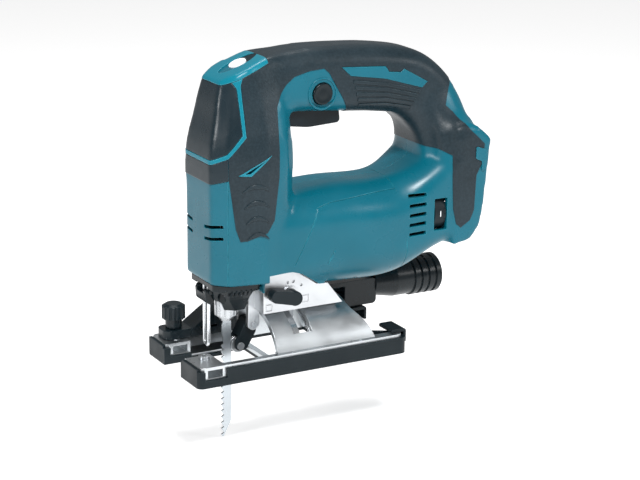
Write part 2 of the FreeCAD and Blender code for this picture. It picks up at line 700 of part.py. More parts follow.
def roller_fork():
    """Black rocker that carries the guide roller behind the blade."""
    arm = [(fork_pivot_x - 3.2, fork_pivot_z + 2.8, 3.0), (fork_pivot_x + 3.0, fork_pivot_z + 2.8, 2.8),
           (roller_x + 3.0, roller_z + 2.8, 2), (roller_x + 2.6, roller_z - 3.0, 2.0),
           (roller_x - 4.0, roller_z - 3.2, 3.0), (fork_pivot_x - 3.2, fork_pivot_z - 6.0, 4)]
    body = side_prism(arm, -fork_half, fork_half)
    gap_half = roller_width / 2 + 0.3
    hole = fuse(box(roller_x - 6.0, 60, -gap_half, gap_half, 0, roller_z + 6.6),
                rod(roller_radius + 1.2, (roller_x, -gap_half, roller_z), (roller_x, gap_half, roller_z)))
    blade_way = box(blade_rear - 1.6, 60, -8, 8, 0, 60)
    pin = rod(pin_radius + 0.01, (roller_x, -20, roller_z), (roller_x, 20, roller_z))
    pivot = rod(pin_radius + running_gap, (fork_pivot_x, -20, fork_pivot_z), (fork_pivot_x, 20, fork_pivot_z))
    return cut(body, hole, blade_way, pin, pivot)


def guide_roller():
    half = roller_width / 2
    groove_half = blade_thickness / 2 + 0.3
    wheel = rod(roller_radius, (roller_x, -half, roller_z), (roller_x, half, roller_z))
    groove = ring(roller_radius + 1, roller_radius - roller_groove,
                  (roller_x, -groove_half, roller_z), (roller_x, groove_half, roller_z))
    hole = rod(pin_radius + running_gap, (roller_x, -9, roller_z), (roller_x, 9, roller_z))
    return cut(wheel, groove, hole)


def roller_pin():
    pin = rod(pin_radius, (roller_x, -fork_half - 0.4, roller_z), (roller_x, fork_half + 0.2, roller_z))
    return fuse(pin, rod(2.4, (roller_x, fork_half + 0.02, roller_z), (roller_x, fork_half + 1.0, roller_z)))


def fork_pin():
    pin = rod(pin_radius, (fork_pivot_x, -ear_half - 0.3, fork_pivot_z), (fork_pivot_x, ear_half + 0.1,
                                                                          fork_pivot_z))
    return fuse(pin, rod(2.2, (fork_pivot_x, ear_half + 0.02, fork_pivot_z),
                         (fork_pivot_x, ear_half + 0.9, fork_pivot_z)))


def wire_guard():
    """Bent wire in front of the blade: two legs joined by a half turn at the bottom."""
    legs = [rod(guard_wire, (guard_x, side * guard_half_gap, guard_low + guard_half_gap),
                (guard_x, side * guard_half_gap, guard_high)) for side in (1, -1)]
    circle = Part.Face(Part.Wire(Part.makeCircle(guard_wire, vec(guard_x, guard_half_gap,
                                                                 guard_low + guard_half_gap),
                                                 vec(0, 0, 1))))
    bend = circle.revolve(vec(guard_x, 0, guard_low + guard_half_gap), vec(1, 0, 0), -180)
    return fuse(*legs, bend)


def nose_guard():
    """Ribbed black skirt that closes the head round the blade clamp, open to the front."""
    top = plan_prism([(53.5, -15.5, 4), (53.5, 15.5, 4), (46.5, 22.5, 4), (26.0, 25.0, 5), (23.2, 20.0, 2),
                      (23.2, -20.0, 2), (26.0, -25.0, 5), (46.5, -22.5, 4)], head_low - 4.0, head_low - 0.05)
    wires = []
    for z, x1, y1, x0 in ((head_low - 3.9, 51.5, 21.5, 24.6), (46.0, 49.5, 16.5, 26.2), (37.5, 44.0, 12.5,
        27.2)):
        outline = [(x1, -y1 * 0.55), (x1, y1 * 0.55), (x1 - 7.0, y1), (x0 + 3.0, y1), (x0, y1 - 4.0),
                   (x0, -y1 + 4.0), (x0 + 3.0, -y1), (x1 - 7.0, -y1)]
        wires.append(Part.makePolygon([vec(x, y, z) for x, y in outline + outline[:1]]))
    skirt = Part.makeLoft(wires, True, True)
    bore = rod(clamp_sleeve_radius + 2.2, (blade_x, 0, 20), (blade_x, 0, head_low + 10))
    mouth = box(blade_x, 80, -8.0, 8.0, 20, head_low - 3.0)
    lever_pin = rod(1.5 + running_gap, (release_x, -9.6, release_z), (release_x, 9.6, release_z))
    lens = rod(2.55, (blade_x + 9.0, lens_y, 20), (blade_x + 9.0, lens_y, 80))
    low_cut = side_prism([(60, 20), (60, 46.0), (45.0, 44.0, 6), (39.0, 30.0)], -60, 60)
    ribs = []
    for number in range(7):
        x0 = 28.0 + 3.1 * number
        groove = box(x0, x0 + 1.3, 18.2, 27.2, 30, 54.0)
        ribs += [groove, mirrored(groove)]
    body = fuse(top, skirt)
    legs = [rod(guard_wire + 0.02, (guard_x, side * guard_half_gap, 20), (guard_x, side * guard_half_gap, 60))
            for side in (1, -1)]
    return biggest(cut(body, bore, mouth, low_cut, lever_pin, lens, *ribs, *legs))


def release_lever():
    """Blade release lever hung in front of the clamp."""
    x, z = release_x, release_z
    arm = side_prism([(x - 3.8, z + 1.3, 0.6), (x + 3.2, z + 1.3, 1.6), (x + 2.4, z - 7.6, 3),
                      (x - 2.6, z - 9.1, 2)], -7.2, 7.2)
    ears_gap = box(40, 60, -guard_half_gap - 1.9, guard_half_gap + 1.9, z - 1.7, z + 10)
    pocket = box(40, guard_x + 1.8, -guard_half_gap - 1.9, guard_half_gap + 1.9, 30, 60)
    pivot = rod(1.5, (x, -9.4, z), (x, 9.4, z))
    return biggest(fuse(arm, pivot).cut([pocket, ears_gap]))


def led_lens():
    return rod(2.5, (blade_x + 9.0, lens_y, head_low - 5.0), (blade_x + 9.0, lens_y, head_low - 0.1))


# ---- Drive ----
def gear_outline(teeth, module, centre_z, phase, backlash):
    """Closed wire of straight-flanked teeth about an X axis."""
    pitch = module * teeth / 2
    tip, root = pitch + 0.85 * module, pitch - 1.1 * module
    points = []
    for tooth in range(teeth):
        middle = phase + 2 * pi * tooth / teeth
        for radius, share in ((root, 0.33), (pitch, 0.245), (tip, 0.12)):
            points.append((middle - 2 * pi / teeth * share + backlash / radius, radius))
        for radius, share in ((tip, 0.12), (pitch, 0.245), (root, 0.33)):
            points.append((middle + 2 * pi / teeth * share - backlash / radius, radius))
    corners = [vec(0, radius * sin(angle), centre_z + radius * cos(angle)) for angle, radius in points]
    return Part.Face(Part.makePolygon(corners + corners[:1]))


def crank_gear():
    face = gear_outline(gear_teeth, gear_module, gear_z, pi / gear_teeth, 0.06)
    gear = moved(face.extrude(vec(gear_width, 0, 0)), gear_front - gear_width, 0, 0)
    hub = rod(6.0, (gear_front - gear_width - 2.0, 0, gear_z), (gear_front, 0, gear_z))
    stub = rod(4.0, (gear_front - gear_width - 10.0, 0, gear_z), (gear_front - gear_width, 0, gear_z))
    pocket = ring(16.0, 9.5, (gear_front - 2.0, 0, gear_z), (gear_front + 1, 0, gear_z))
    pocket = pocket.common(box(0, 60, -30, -1.0, 60, 160))
    pin = rod(2.5, (gear_front - 1, crank_throw, gear_z), (blade_x - plunger_radius - 1.0, crank_throw,
                                                           gear_z))
    boss = rod(5.5, (gear_front - 1, crank_throw, gear_z), (gear_front + 0.6, crank_throw, gear_z))
    return fuse(gear.cut(pocket), hub, stub, pin, boss)


def crank_roller():
    x0, x1 = gear_front + 1.2, blade_x - plunger_radius - 1.4
    return ring(crank_roller_radius, 2.5 + running_gap, (x0, crank_throw, gear_z), (x1, crank_throw, gear_z))


def pinion():
    face = gear_outline(pinion_teeth, gear_module, motor_z, 0.0, 0.12)
    x0 = gear_front - gear_width - 1.0
    wheel = moved(face.extrude(vec(gear_width + 2.0, 0, 0)), x0, 0, 0)
    return wheel.cut(rod(shaft_radius - 0.5, (x0 - 5, 0, motor_z), (x0 + 20, 0, motor_z)))


def plunger():
    high = gear_z + 44.0
    shaft = rod(plunger_radius, (blade_x, 0, clamp_high + 2.0), (blade_x, 0, high))
    stem = rod(2.55, (blade_x, 0, blade_top_z + 0.2), (blade_x, 0, clamp_high + 2.1))
    x0 = gear_front + 1.4
    yoke = box(x0, blade_x - plunger_radius + 1.0, -yoke_half_length, yoke_half_length,
               gear_z - yoke_slot_half - 3.0, gear_z + yoke_slot_half + 3.0)
    slot = box(x0 - 1, blade_x - plunger_radius - 0.7, -crank_throw - crank_roller_radius - 0.5,
               crank_throw + crank_roller_radius + 0.5, gear_z - yoke_slot_half, gear_z + yoke_slot_half)
    return fuse(shaft, stem, yoke.cut(slot))


def bush(low, high):
    return ring(7.0, plunger_radius + running_gap, (blade_x, 0, low), (blade_x, 0, high))


def gear_housing():
    """Cast frame inside the head that carries the plunger, the crank gear and the motor's nose bearing."""
    x0, x1 = gear_front - gear_width - 10.0, blade_x + 9.0
    z0, z1 = bracket_top, gear_z + 46.0
    floor = box(x0, x1, -14, 14, z0, z0 + 9)
    lid = box(x0 + 2, x1, -9, 9, z1 - 9, z1)
    back = box(x0, x0 + 7.0, -17.5, 17.5, z0, gear_z + 15)
    upper_back = box(x0 + 2, x0 + 7.0, -9, 9, gear_z + 10, z1)
    body = fuse(floor, lid, back, upper_back)
    way = rod(7.0, (blade_x, 0, 50), (blade_x, 0, 200))
    gear_seat = rod(8.02, (x0 - 1, 0, gear_z), (x0 + 8, 0, gear_z))
    nose_seat = rod(8.02, (x0 - 1, 0, motor_z), (x0 + 8, 0, motor_z))
    return cut(body, way, gear_seat, nose_seat)


def bearing(x0, x1, z, outer, inner):
    outer_race = ring(outer, outer - 1.6, (x0, 0, z), (x1, 0, z))
    inner_race = ring(inner + 1.5, inner, (x0, 0, z), (x1, 0, z))
    web = ring(outer - 1.5, inner + 1.4, (x0 + 0.8, 0, z), (x1 - 0.8, 0, z))
    return fuse(outer_race, inner_race, web)


def motor_stator():
    x0, x1 = stator_rear, stator_rear + stator_length
    can = ring(stator_radius, stator_radius - 3.0, (x0, 0, motor_z), (x1, 0, motor_z))
    poles = []
    for number in range(6):
        pole = box(x0, x1, -2.2, 2.2, motor_z + rotor_radius + 0.6, motor_z + stator_radius - 2.5)
        coil = box(x0 - 3.0, x1 + 3.0, -4.4, 4.4, motor_z + rotor_radius + 2.0, motor_z + stator_radius - 4.0)
        both = fuse(pole, coil)
        poles.append(turned(both, (0, 0, motor_z), (1, 0, 0), 60 * number))
    return fuse(can, *poles)


def motor_rotor():
    return ring(rotor_radius, shaft_radius, (stator_rear, 0, motor_z), (stator_rear + stator_length, 0,
                                                                        motor_z))


def motor_shaft():
    x1 = gear_front + 1.0
    shaft = rod(shaft_radius, (stator_rear - 12.0, 0, motor_z), (gear_front - gear_width - 1.6, 0, motor_z))
    return fuse(shaft, rod(shaft_radius - 0.5, (gear_front - gear_width - 2, 0, motor_z), (x1, 0, motor_z)))


def motor_fan():
    x0 = stator_rear + stator_length + 5.0
    disc = ring(fan_radius, shaft_radius, (x0, 0, motor_z), (x0 + 1.5, 0, motor_z))
    hub = ring(5.0, shaft_radius, (x0, 0, motor_z), (x0 + 8.0, 0, motor_z))
    blades = []
    for number in range(12):
        vane = box(x0 + 1.0, x0 + 8.0, -0.6, 0.6, motor_z + 6.0, motor_z + fan_radius - 0.5)
        vane = turned(vane, (x0 + 4.5, 0, motor_z), (0, 0, 1), 14)
        blades.append(turned(vane, (0, 0, motor_z), (1, 0, 0), 30 * number))
    return fuse(disc, hub, *blades)


# ---- Controls ----
def trigger():
    """Finger trigger hinged at its front end inside the handle."""
    paddle = side_prism([(trigger_front - 0.4, 166.5, 2), (trigger_front - 0.6, 150.0, 3),
                         (-16.0, 147.6, 30), (trigger_rear + 0.8, 148.8, 2.5), (trigger_rear + 2.2, 160.0),
                         (-10.0, 160.5, 3), (-10.0, 166.5, 2)], -trigger_half, trigger_half)
    inside = side_prism([(trigger_front - 8.0, 158.0), (trigger_front - 8.0, 153.5), (trigger_rear + 5.0,
        153.5),
                         (trigger_rear + 5.0, 175.0), (-12.0, 175.0)], -trigger_half + 2, trigger_half - 2)
    hole = rod(1.5 + running_gap, (trigger_pivot_x, -20, trigger_pivot_z),
               (trigger_pivot_x, 20, trigger_pivot_z))
    return cut(paddle, inside, hole)


def trigger_pin():
    return rod(1.5, (trigger_pivot_x, -12.0, trigger_pivot_z), (trigger_pivot_x, 12.0, trigger_pivot_z))


def trigger_spring():
    coils = [ring(3.0, 2.2, (-29.0, 0, 153.9 + 1.9 * number), (-29.0, 0, 153.9 + 1.9 * number + 0.9))
             for number in range(5)]
    core = ring(2.7, 2.5, (-29.0, 0, 153.9), (-29.0, 0, 162.4))
    return fuse(core, *coils)


def switch_body():
    body = box(-66.0, -29.5, -9.0, 9.0, 167.0, 181.5)
    foot = box(-31.0, -28.0, -5.0, 5.0, 162.5, 168.0)
    return fuse(body, foot)


def lock_button():
    half = handle_half + 1.0
    inner = trigger_half + 0.7
    seat = inner + button_travel
    left = rod(button_radius, (button_x, seat, button_z), (button_x, half, button_z))
    middle = rod(3.2, (button_x, -half + button_travel, button_z), (button_x, seat + 0.5, button_z))
    right = rod(button_radius, (button_x, -handle_half + 3.0 + button_travel, button_z),
                (button_x, -inner, button_z))
    return fuse(left, middle, right)


def speed_dial():
    y = motor_half - dial_radius + 0.8
    wheel = rod(dial_radius, (dial_x - dial_width / 2, y, dial_z), (dial_x + dial_width / 2, y, dial_z))
    notches = []
    for number in range(24):
        angle = radians(15 * number)
        rim_y, rim_z = y + dial_radius * cos(angle), dial_z + dial_radius * sin(angle)
        notches.append(rod(0.45, (dial_x - 9, rim_y, rim_z), (dial_x - dial_width / 2 + 1.6, rim_y, rim_z)))
    hole = rod(1.5 + running_gap, (dial_x - 20, y, dial_z), (dial_x + 20, y, dial_z))
    return cut(wheel, hole, *notches)


def controller_board():
    """Circuit board with its power parts and the dial's pivot."""
    y = motor_half - dial_radius + 0.8
    board = box(-112.0, -74.0, -2.4, -0.8, 74.0, 101.0)
    chips = [box(-86.0 - 11 * i, -78.0 - 11 * i, -8.0, -2.3, 76.0, 84.0) for i in range(3)]
    cans = [rod(4.0, (-82.0 - 11 * i, -12.0, 94.0), (-82.0 - 11 * i, -2.3, 94.0)) for i in range(3)]
    front, rear = dial_x + dial_width / 2, dial_x - dial_width / 2
    post = fuse(rod(1.5, (rear - 2.0, y, dial_z), (front + 2.0, y, dial_z)),
                box(rear - 3.4, rear - 1.0, -1.0, y + 3.0, dial_z - 3, dial_z + 3),
                box(front + 1.0, front + 3.4, -1.0, y + 3.0, dial_z - 3, dial_z + 3))
    return fuse(board, post, *chips, *cans)


def terminal_block():
    x0 = flange_rear + bay_depth
    block = box(x0 - 3.0, x0 - 0.05, -15.0, 15.0, 84.0, 104.0)
    blades = [box(x0 - 5.5, x0 - 2.9, y - 0.4, y + 0.4, 86.0, 101.0) for y in (-11.0, -4.0, 4.0, 11.0)]
    return fuse(block, *blades)


def battery_rails():
    x0 = flange_rear + bay_depth
    rails = []
    for side in (1, -1):
        y0, y1 = sorted((side * (bay_half - 3.2), side * (bay_half - 0.05)))
        rails.append(box(x0 - 5.6, x0 - 3.0, y0, y1, bay_floor_z + 4.0, 128.0))
    return Part.makeCompound(rails)


def side_badges():
    """Plain rhombus plates set on the flange's two sides."""
    plate_points = [(-122.9, 130.0, 1), (-130.4, 127.5, 1), (-130.4, 115.5, 1), (-127.5, 112.0, 1),
                    (-127.5, 120.0, 1),
                    (-122.9, 122.0, 1)]
    plate = side_prism(plate_points, flange_half + 0.02, flange_half + 0.6)
    return Part.makeCompound([plate, mirrored(plate)])


# ---- Dust nozzle ----
def dust_nozzle():
    y0, y1 = nozzle_y - duct_half, nozzle_y + duct_half
    front = knob_x - 9.0
    duct = side_prism([(front, base_height + 0.3), (front, 18.0, 1), (front - 10.0, duct_high - 8, 6),
                       (front - 22.0, duct_high, 6), (-84.0, duct_high, 3), (-84.0, duct_low, 3),
                       (-10.0, duct_low, 4), (-8.0, base_height + 0.3)], y0, y1)
    hollow = side_prism([(front - 12.0, duct_low + 1.5), (front - 22.0, duct_high - 2.2, 4), (-85.0,
        duct_high - 2.2),
                         (-85.0, duct_low + 2.0)], y0 + 2.2, y1 - 2.2)
    mouth = box(front - 18.0, front - 6.0, y1 - 3.0, y1 + 4.0, duct_low + 2.0, duct_high - 14.0)
    over_arch = rod(arch_radius + 0.6, (arch_rear - 20, 0, 0), (arch_front + 1, 0, 0))
    hollow = hollow.cut(rod(arch_radius + 2.6, (arch_rear - 22, 0, 0), (arch_front + 3, 0, 0)))
    shell = cut(duct, hollow, mouth, over_arch)
    start, along = vec(spigot_front, nozzle_y, spigot_z), vec(1, 0, 0)
    cone = Part.makeCone(spigot_radius, spigot_radius - 3.0, 15.5, start, along)
    throat = Part.makeCone(spigot_bore, spigot_bore - 3.0, 16.0, start, along)
    tube = rod(spigot_radius, (spigot_front, nozzle_y, spigot_z), (spigot_rear, nozzle_y, spigot_z))
    rings = []
    for number in range(4):
        x = spigot_rear + 1.0 + 5.6 * number
        rings.append(rod(spigot_radius + spigot_ring, (x, nozzle_y, spigot_z), (x + 3.4, nozzle_y, spigot_z)))
    spigot = fuse(tube, *rings).cut(rod(spigot_bore, (spigot_front + 0.5, nozzle_y, spigot_z),
                                        (spigot_rear - 1, nozzle_y, spigot_z)))
    foot = plan_prism([(knob_x + 9.0, nozzle_y - 7.5, 5), (knob_x + 9.0, nozzle_y + 7.5, 5),
                       (front - 0.5, nozzle_y + 7.5, 1), (front - 0.5, nozzle_y - 7.5, 1)],
                      base_height + 0.3, knob_low - 0.6)
    hole = rod(knob_post_radius + 0.3, (knob_x, nozzle_y, 0), (knob_x, nozzle_y, 40))
    return cut(fuse(shell, cone, foot).cut(throat).fuse(spigot).removeSplitter(), hole)


def nozzle_knob():
    cap = rod(knob_radius, (knob_x, nozzle_y, knob_high - 9.0), (knob_x, nozzle_y, knob_high - 1.0))
    dome = Part.makeCone(knob_radius, knob_radius - 2.5, 1.6, vec(knob_x, nozzle_y, knob_high - 1.0))
    neck_part = rod(knob_radius - 2.2, (knob_x, nozzle_y, knob_low), (knob_x, nozzle_y, knob_high - 8.9))
    screw = rod(knob_post_radius - 0.1, (knob_x, nozzle_y, fence_slot_high + 0.3), (knob_x, nozzle_y,
        knob_low + 0.1))
    flutes = []
    for number in range(14):
        angle = 2 * pi * number / 14
        x, y = knob_x + knob_radius * cos(angle), nozzle_y + knob_radius * sin(angle)
        flutes.append(rod(0.8, (x, y, knob_high - 12.0), (x, y, knob_high + 3.0)))
    return cut(fuse(cap, dome, neck_part, screw), *flutes)


def fence_screw():
    x, y = fence_slot_x, fence_screw_y
    screw = rod(2.1, (x, y, fence_slot_high + 0.2), (x, y, base_height + 0.02))
    head_part = rod(3.4, (x, y, base_height + 0.02), (x, y, base_height + 2.2))
    corners = [(x + 1.6 * cos(radians(60 * i)), y + 1.6 * sin(radians(60 * i))) for i in range(6)]
    socket = plan_prism(corners, base_height + 0.9, base_height + 4)
    return fuse(screw, head_part).cut(socket)


os.makedirs("parts", exist_ok=True)
housing()
save("base_casting", base_casting())
save("base_cover", base_cover())
save("fence_screw", fence_screw())
save("bevel_bracket", bevel_bracket())
save("bevel_shoe", bevel_shoe())
save("bevel_bolt", bevel_bolt())
save("orbital_lever", orbital_lever())
save("lever_washer", lever_washer())
save("blade", blade())
save("clamp_body", clamp_body())
save("clamp_sleeve", clamp_sleeve())
save("roller_fork", roller_fork())
save("guide_roller", guide_roller())
save("roller_pin", roller_pin())
save("fork_pin", fork_pin())
save("wire_guard", wire_guard())
save("nose_guard", nose_guard())
save("release_lever", release_lever())
save("led_lens", led_lens())
save("crank_gear", crank_gear())
save("crank_roller", crank_roller())
save("crank_bearing", bearing(bearing_rear, bearing_rear + 6.0, gear_z, 8.0, 4.0))
save("pinion", pinion())
save("plunger", plunger())
save("lower_bush", bush(62.2, 70.8))
save("upper_bush", bush(gear_z + 37.2, gear_z + 45.8))
save("gear_housing", gear_housing())
save("front_bearing", bearing(bearing_rear, bearing_rear + 6.0, motor_z, 8.0, shaft_radius))
save("rear_bearing", bearing(stator_rear - 11.0, stator_rear - 6.0, motor_z, 8.0, shaft_radius))
save("motor_stator", motor_stator())
save("motor_rotor", motor_rotor())
save("motor_shaft", motor_shaft())
save("motor_fan", motor_fan())
save("trigger", trigger())
save("trigger_pin", trigger_pin())
save("trigger_spring", trigger_spring())
save("switch_body", switch_body())
save("lock_button", lock_button())
save("speed_dial", speed_dial())
save("controller_board", controller_board())
save("terminal_block", terminal_block())
save("battery_rails", battery_rails())
save("side_badges", side_badges())
save("dust_nozzle", dust_nozzle())
save("nozzle_knob", nozzle_knob())
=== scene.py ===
"""Cordless jigsaw. The looks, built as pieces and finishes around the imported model."""
import bmesh
import bpy
from math import atan2, cos, pi, radians, sin, sqrt
from mathutils import Matrix, Vector


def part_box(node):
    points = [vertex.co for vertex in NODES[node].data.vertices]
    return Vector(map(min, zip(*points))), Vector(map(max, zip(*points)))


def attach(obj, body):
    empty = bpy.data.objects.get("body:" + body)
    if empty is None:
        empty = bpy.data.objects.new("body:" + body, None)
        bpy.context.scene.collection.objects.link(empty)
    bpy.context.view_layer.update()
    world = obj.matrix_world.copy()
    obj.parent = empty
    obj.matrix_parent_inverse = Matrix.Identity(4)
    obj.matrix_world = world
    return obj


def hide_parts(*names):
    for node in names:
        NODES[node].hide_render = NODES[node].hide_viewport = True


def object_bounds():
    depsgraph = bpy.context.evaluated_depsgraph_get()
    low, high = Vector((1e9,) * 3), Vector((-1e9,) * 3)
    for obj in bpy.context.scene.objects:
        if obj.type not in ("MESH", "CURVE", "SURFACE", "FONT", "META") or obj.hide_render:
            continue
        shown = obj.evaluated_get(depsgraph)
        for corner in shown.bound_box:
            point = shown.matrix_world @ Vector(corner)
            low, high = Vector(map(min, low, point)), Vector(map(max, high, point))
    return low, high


bl_info = {
    "name": "Cordless jigsaw",
    "version": (1, 0, 0),
    "blender": (4, 5, 0),
    "location": "View3D > Sidebar > Jigsaw",
    "description": "Builds the shells, grips, controls and finishes of a cordless jigsaw",
    "category": "Object",
}

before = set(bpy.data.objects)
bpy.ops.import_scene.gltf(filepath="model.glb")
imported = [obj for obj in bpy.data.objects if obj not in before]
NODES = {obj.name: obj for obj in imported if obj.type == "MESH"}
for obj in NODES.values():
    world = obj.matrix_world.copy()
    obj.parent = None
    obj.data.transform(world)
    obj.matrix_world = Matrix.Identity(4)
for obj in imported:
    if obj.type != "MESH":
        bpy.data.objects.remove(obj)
CAD_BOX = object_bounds()
MM = 0.001
FAR = 60.0                    # past the widest point, to either side
LOOP_POINTS = 40
LOFT_STEPS = 6
SMOOTH_ANGLE = 40.0
FINISHES = {}
SHARED = {}                   # the moulded body, kept for the operators that cut from it


# ---- Settings ----
class JigsawSizes(bpy.types.PropertyGroup):
    grain: bpy.props.FloatProperty(
        name="Shell mesh size", description="Edge length of the moulded surfaces' mesh, in millimetres",
        default=1.25, min=0.6, max=3.0)
    rounding: bpy.props.IntProperty(
        name="Edge rounding", description="How many times the moulded surfaces are smoothed",
        default=7, min=1, max=30)
    joint_gap: bpy.props.FloatProperty(
        name="Part line", description="Depth of the line between two mouldings, in millimetres",
        default=0.45, min=0.1, max=1.0)


class JigsawColours(bpy.types.PropertyGroup):
    shell: bpy.props.FloatVectorProperty(
        name="Shell", description="Colour of the moulded shells", subtype="COLOR",
        default=(0.0003, 0.098, 0.142), min=0, max=1)
    # The trim is the shell's teal, painted lighter as a highlight.
    shell_highlit: bpy.props.FloatVectorProperty(
        name="Trim", description="Colour of the bright trim lines", subtype="COLOR",
        default=(0.001, 0.15, 0.21), min=0, max=1)
    rubber: bpy.props.FloatVectorProperty(
        name="Overmould", description="Colour of the soft grip", subtype="COLOR",
        default=(0.007, 0.016, 0.022), min=0, max=1)
    black: bpy.props.FloatVectorProperty(
        name="Black plastic", description="Colour of the nozzle, cover and buttons", subtype="COLOR",
        default=(0.003, 0.008, 0.011), min=0, max=1)
    steel: bpy.props.FloatVectorProperty(
        name="Steel", description="Colour of bare steel", subtype="COLOR",
        default=(0.56, 0.58, 0.60), min=0, max=1)
    aluminium: bpy.props.FloatVectorProperty(
        name="Aluminium", description="Colour of the base and the bracket", subtype="COLOR",
        default=(0.52, 0.55, 0.57), min=0, max=1)


# ---- Mesh helpers, in millimetres until a piece is finished ----
def new_object(name, bm):
    mesh = bpy.data.meshes.new(name)
    bm.to_mesh(mesh)
    bm.free()
    obj = bpy.data.objects.new(name, mesh)
    bpy.context.scene.collection.objects.link(obj)
    return obj


def copy_of(obj, name):
    twin = bpy.data.objects.new(name, obj.data.copy())
    bpy.context.scene.collection.objects.link(twin)
    return twin


def drop(*objs):
    for obj in objs:
        mesh = obj.data
        bpy.data.objects.remove(obj)
        bpy.data.meshes.remove(mesh)


def settle(obj):
    """Applies the object's modifiers to its own mesh."""
    graph = bpy.context.evaluated_depsgraph_get()
    graph.update()
    mesh = bpy.data.meshes.new_from_object(obj.evaluated_get(graph))
    old = obj.data
    obj.modifiers.clear()
    obj.data = mesh
    bpy.data.meshes.remove(old)
    return obj


def combine(obj, tool, way, keep_tool=False):
    """Boolean of two closed meshes."""
    step = obj.modifiers.new("cut", "BOOLEAN")
    step.object = tool
    step.operation = way
    step.solver = "MANIFOLD"
    settle(obj)
    if not keep_tool:
        drop(tool)
    return obj


def edit(obj, work):
    bm = bmesh.new()
    bm.from_mesh(obj.data)
    work(bm)
    bm.to_mesh(obj.data)
    bm.free()
    obj.data.update()
    return obj


def loop_at(bm, centre, up, side, half_up, half_side, corner):
    """Rounded rectangle as one loop of edges."""
    loop = bmesh.ops.create_circle(bm, cap_ends=False, radius=1.0, segments=LOOP_POINTS)["verts"]
    for vert in loop:
        c, s = vert.co.x, vert.co.y
        a = (half_side - corner) * (1 if c > 0 else -1) + corner * c
        b = (half_up - corner) * (1 if s > 0 else -1) + corner * s
        vert.co = centre + side * a + up * b
    return loop


def edges_of(verts):
    inside = set(verts)
    return list({e for v in verts for e in v.link_edges if e.other_vert(v) in inside})


def skin_loops(bm, loops):
    """Walls between successive loops, closed at both ends."""
    ends = [edges_of(loop) for loop in loops]
    for one, two in zip(ends, ends[1:]):
        bmesh.ops.bridge_loops(bm, edges=one + two)
    for end in (ends[0], ends[-1]):
        bmesh.ops.edgeloop_fill(bm, edges=end)
    bmesh.ops.recalc_face_normals(bm, faces=bm.faces)


def between(stations, steps):
    """Values on a smooth curve through the stations."""
    result = []
    for i in range(len(stations) - 1):
        p0 = stations[max(i - 1, 0)]
        p1, p2 = stations[i], stations[i + 1]
        p3 = stations[min(i + 2, len(stations) - 1)]
        for step in range(steps):
            t = step / steps
            result.append([
                0.5 * (2 * b + (c - a) * t + (2 * a - 5 * b + 4 * c - d) * t * t
                       + (3 * b - a - 3 * c + d) * t ** 3)
                for a, b, c, d in zip(p0, p1, p2, p3)])
    return result + [list(stations[-1])]


def path_loft(name, stations):
    """Loft of rounded rectangles: x, z, climb, half height, half width, corner."""
    bm = bmesh.new()
    loops = []
    for x, z, climb, half_up, half_side, corner in between(stations, LOFT_STEPS):
        up = Vector((-sin(radians(climb)), 0, cos(radians(climb))))
        loops.append(loop_at(bm, Vector((x, 0, z)), up, Vector((0, 1, 0)), half_up, half_side, corner))
    skin_loops(bm, loops)
    return new_object(name, bm)


def strip(line, half):
    """Outline of a band that follows a line of points."""
    near, far = [], []
    for i, point in enumerate(line):
        a, b = Vector(line[max(i - 1, 0)]), Vector(line[min(i + 1, len(line) - 1)])
        way = (b - a).normalized()
        across = Vector((-way.y, way.x)) * half
        near.append(tuple(Vector(point) + across))
        far.append(tuple(Vector(point) - across))
    return near + far[::-1]


def prism(name, points, y0=-FAR, y1=FAR, round_by=0.0):
    """Outline in the XZ plane, as (x, z), pushed along Y."""
    bm = bmesh.new()
    verts = [bm.verts.new((p[0], y0, p[1])) for p in points]
    face = bm.faces.new(verts)
    pushed = bmesh.ops.extrude_face_region(bm, geom=[face])["geom"]
    bmesh.ops.translate(bm, verts=[g for g in pushed if isinstance(g, bmesh.types.BMVert)],
                        vec=(0, y1 - y0, 0))
    if round_by:
        along = [e for e in bm.edges if abs(e.verts[0].co.y - e.verts[1].co.y) > 1e-6]
        bmesh.ops.bevel(bm, geom=along, offset=round_by, offset_type="OFFSET", affect="EDGES",
                        segments=5, profile=0.5, material=-1)
    bmesh.ops.recalc_face_normals(bm, faces=bm.faces)
    return new_object(name, bm)


def block(name, low, high, bevel=0.0):
    bm = bmesh.new()
    bmesh.ops.create_cube(bm, size=1.0)
    size = Vector(high) - Vector(low)
    bmesh.ops.scale(bm, verts=bm.verts, vec=size)
    bmesh.ops.translate(bm, verts=bm.verts, vec=(Vector(low) + Vector(high)) / 2)
    if bevel:
        bmesh.ops.bevel(bm, geom=bm.edges, offset=bevel, offset_type="OFFSET", affect="EDGES",
                        segments=3, profile=0.5, material=-1)
    return new_object(name, bm)


def turned_bar(bm, start, end, radius, segments=32, bevel=0.0):
    """Round bar between two points."""
    start, end = Vector(start), Vector(end)
    way = end - start
    made = bmesh.ops.create_cone(bm, cap_ends=True, segments=segments, radius1=radius, radius2=radius,
                                 depth=way.length)["verts"]
    if bevel:
        rims = [e for e in edges_of(made) if abs(e.verts[0].co.z - e.verts[1].co.z) < 1e-6
                and len(e.link_faces) == 2]
        cut = bmesh.ops.bevel(bm, geom=rims, offset=bevel, offset_type="OFFSET", affect="EDGES",
                              segments=3, profile=0.5, material=-1)["verts"]
        made = list(set(cut + [v for v in made if v.is_valid]))
    bmesh.ops.rotate(bm, verts=made, cent=(0, 0, 0), matrix=way.to_track_quat("Z", "Y").to_matrix())
    bmesh.ops.translate(bm, verts=made, vec=(start + end) / 2)
    return made


def grown(obj, name, amount):
    """Copy of a smooth closed mesh with its surface moved out along its normals."""
    twin = copy_of(obj, name)
    normals = [v.normal.copy() for v in twin.data.vertices]
    for vert, normal in zip(twin.data.vertices, normals):
        vert.co += normal * amount
    return twin


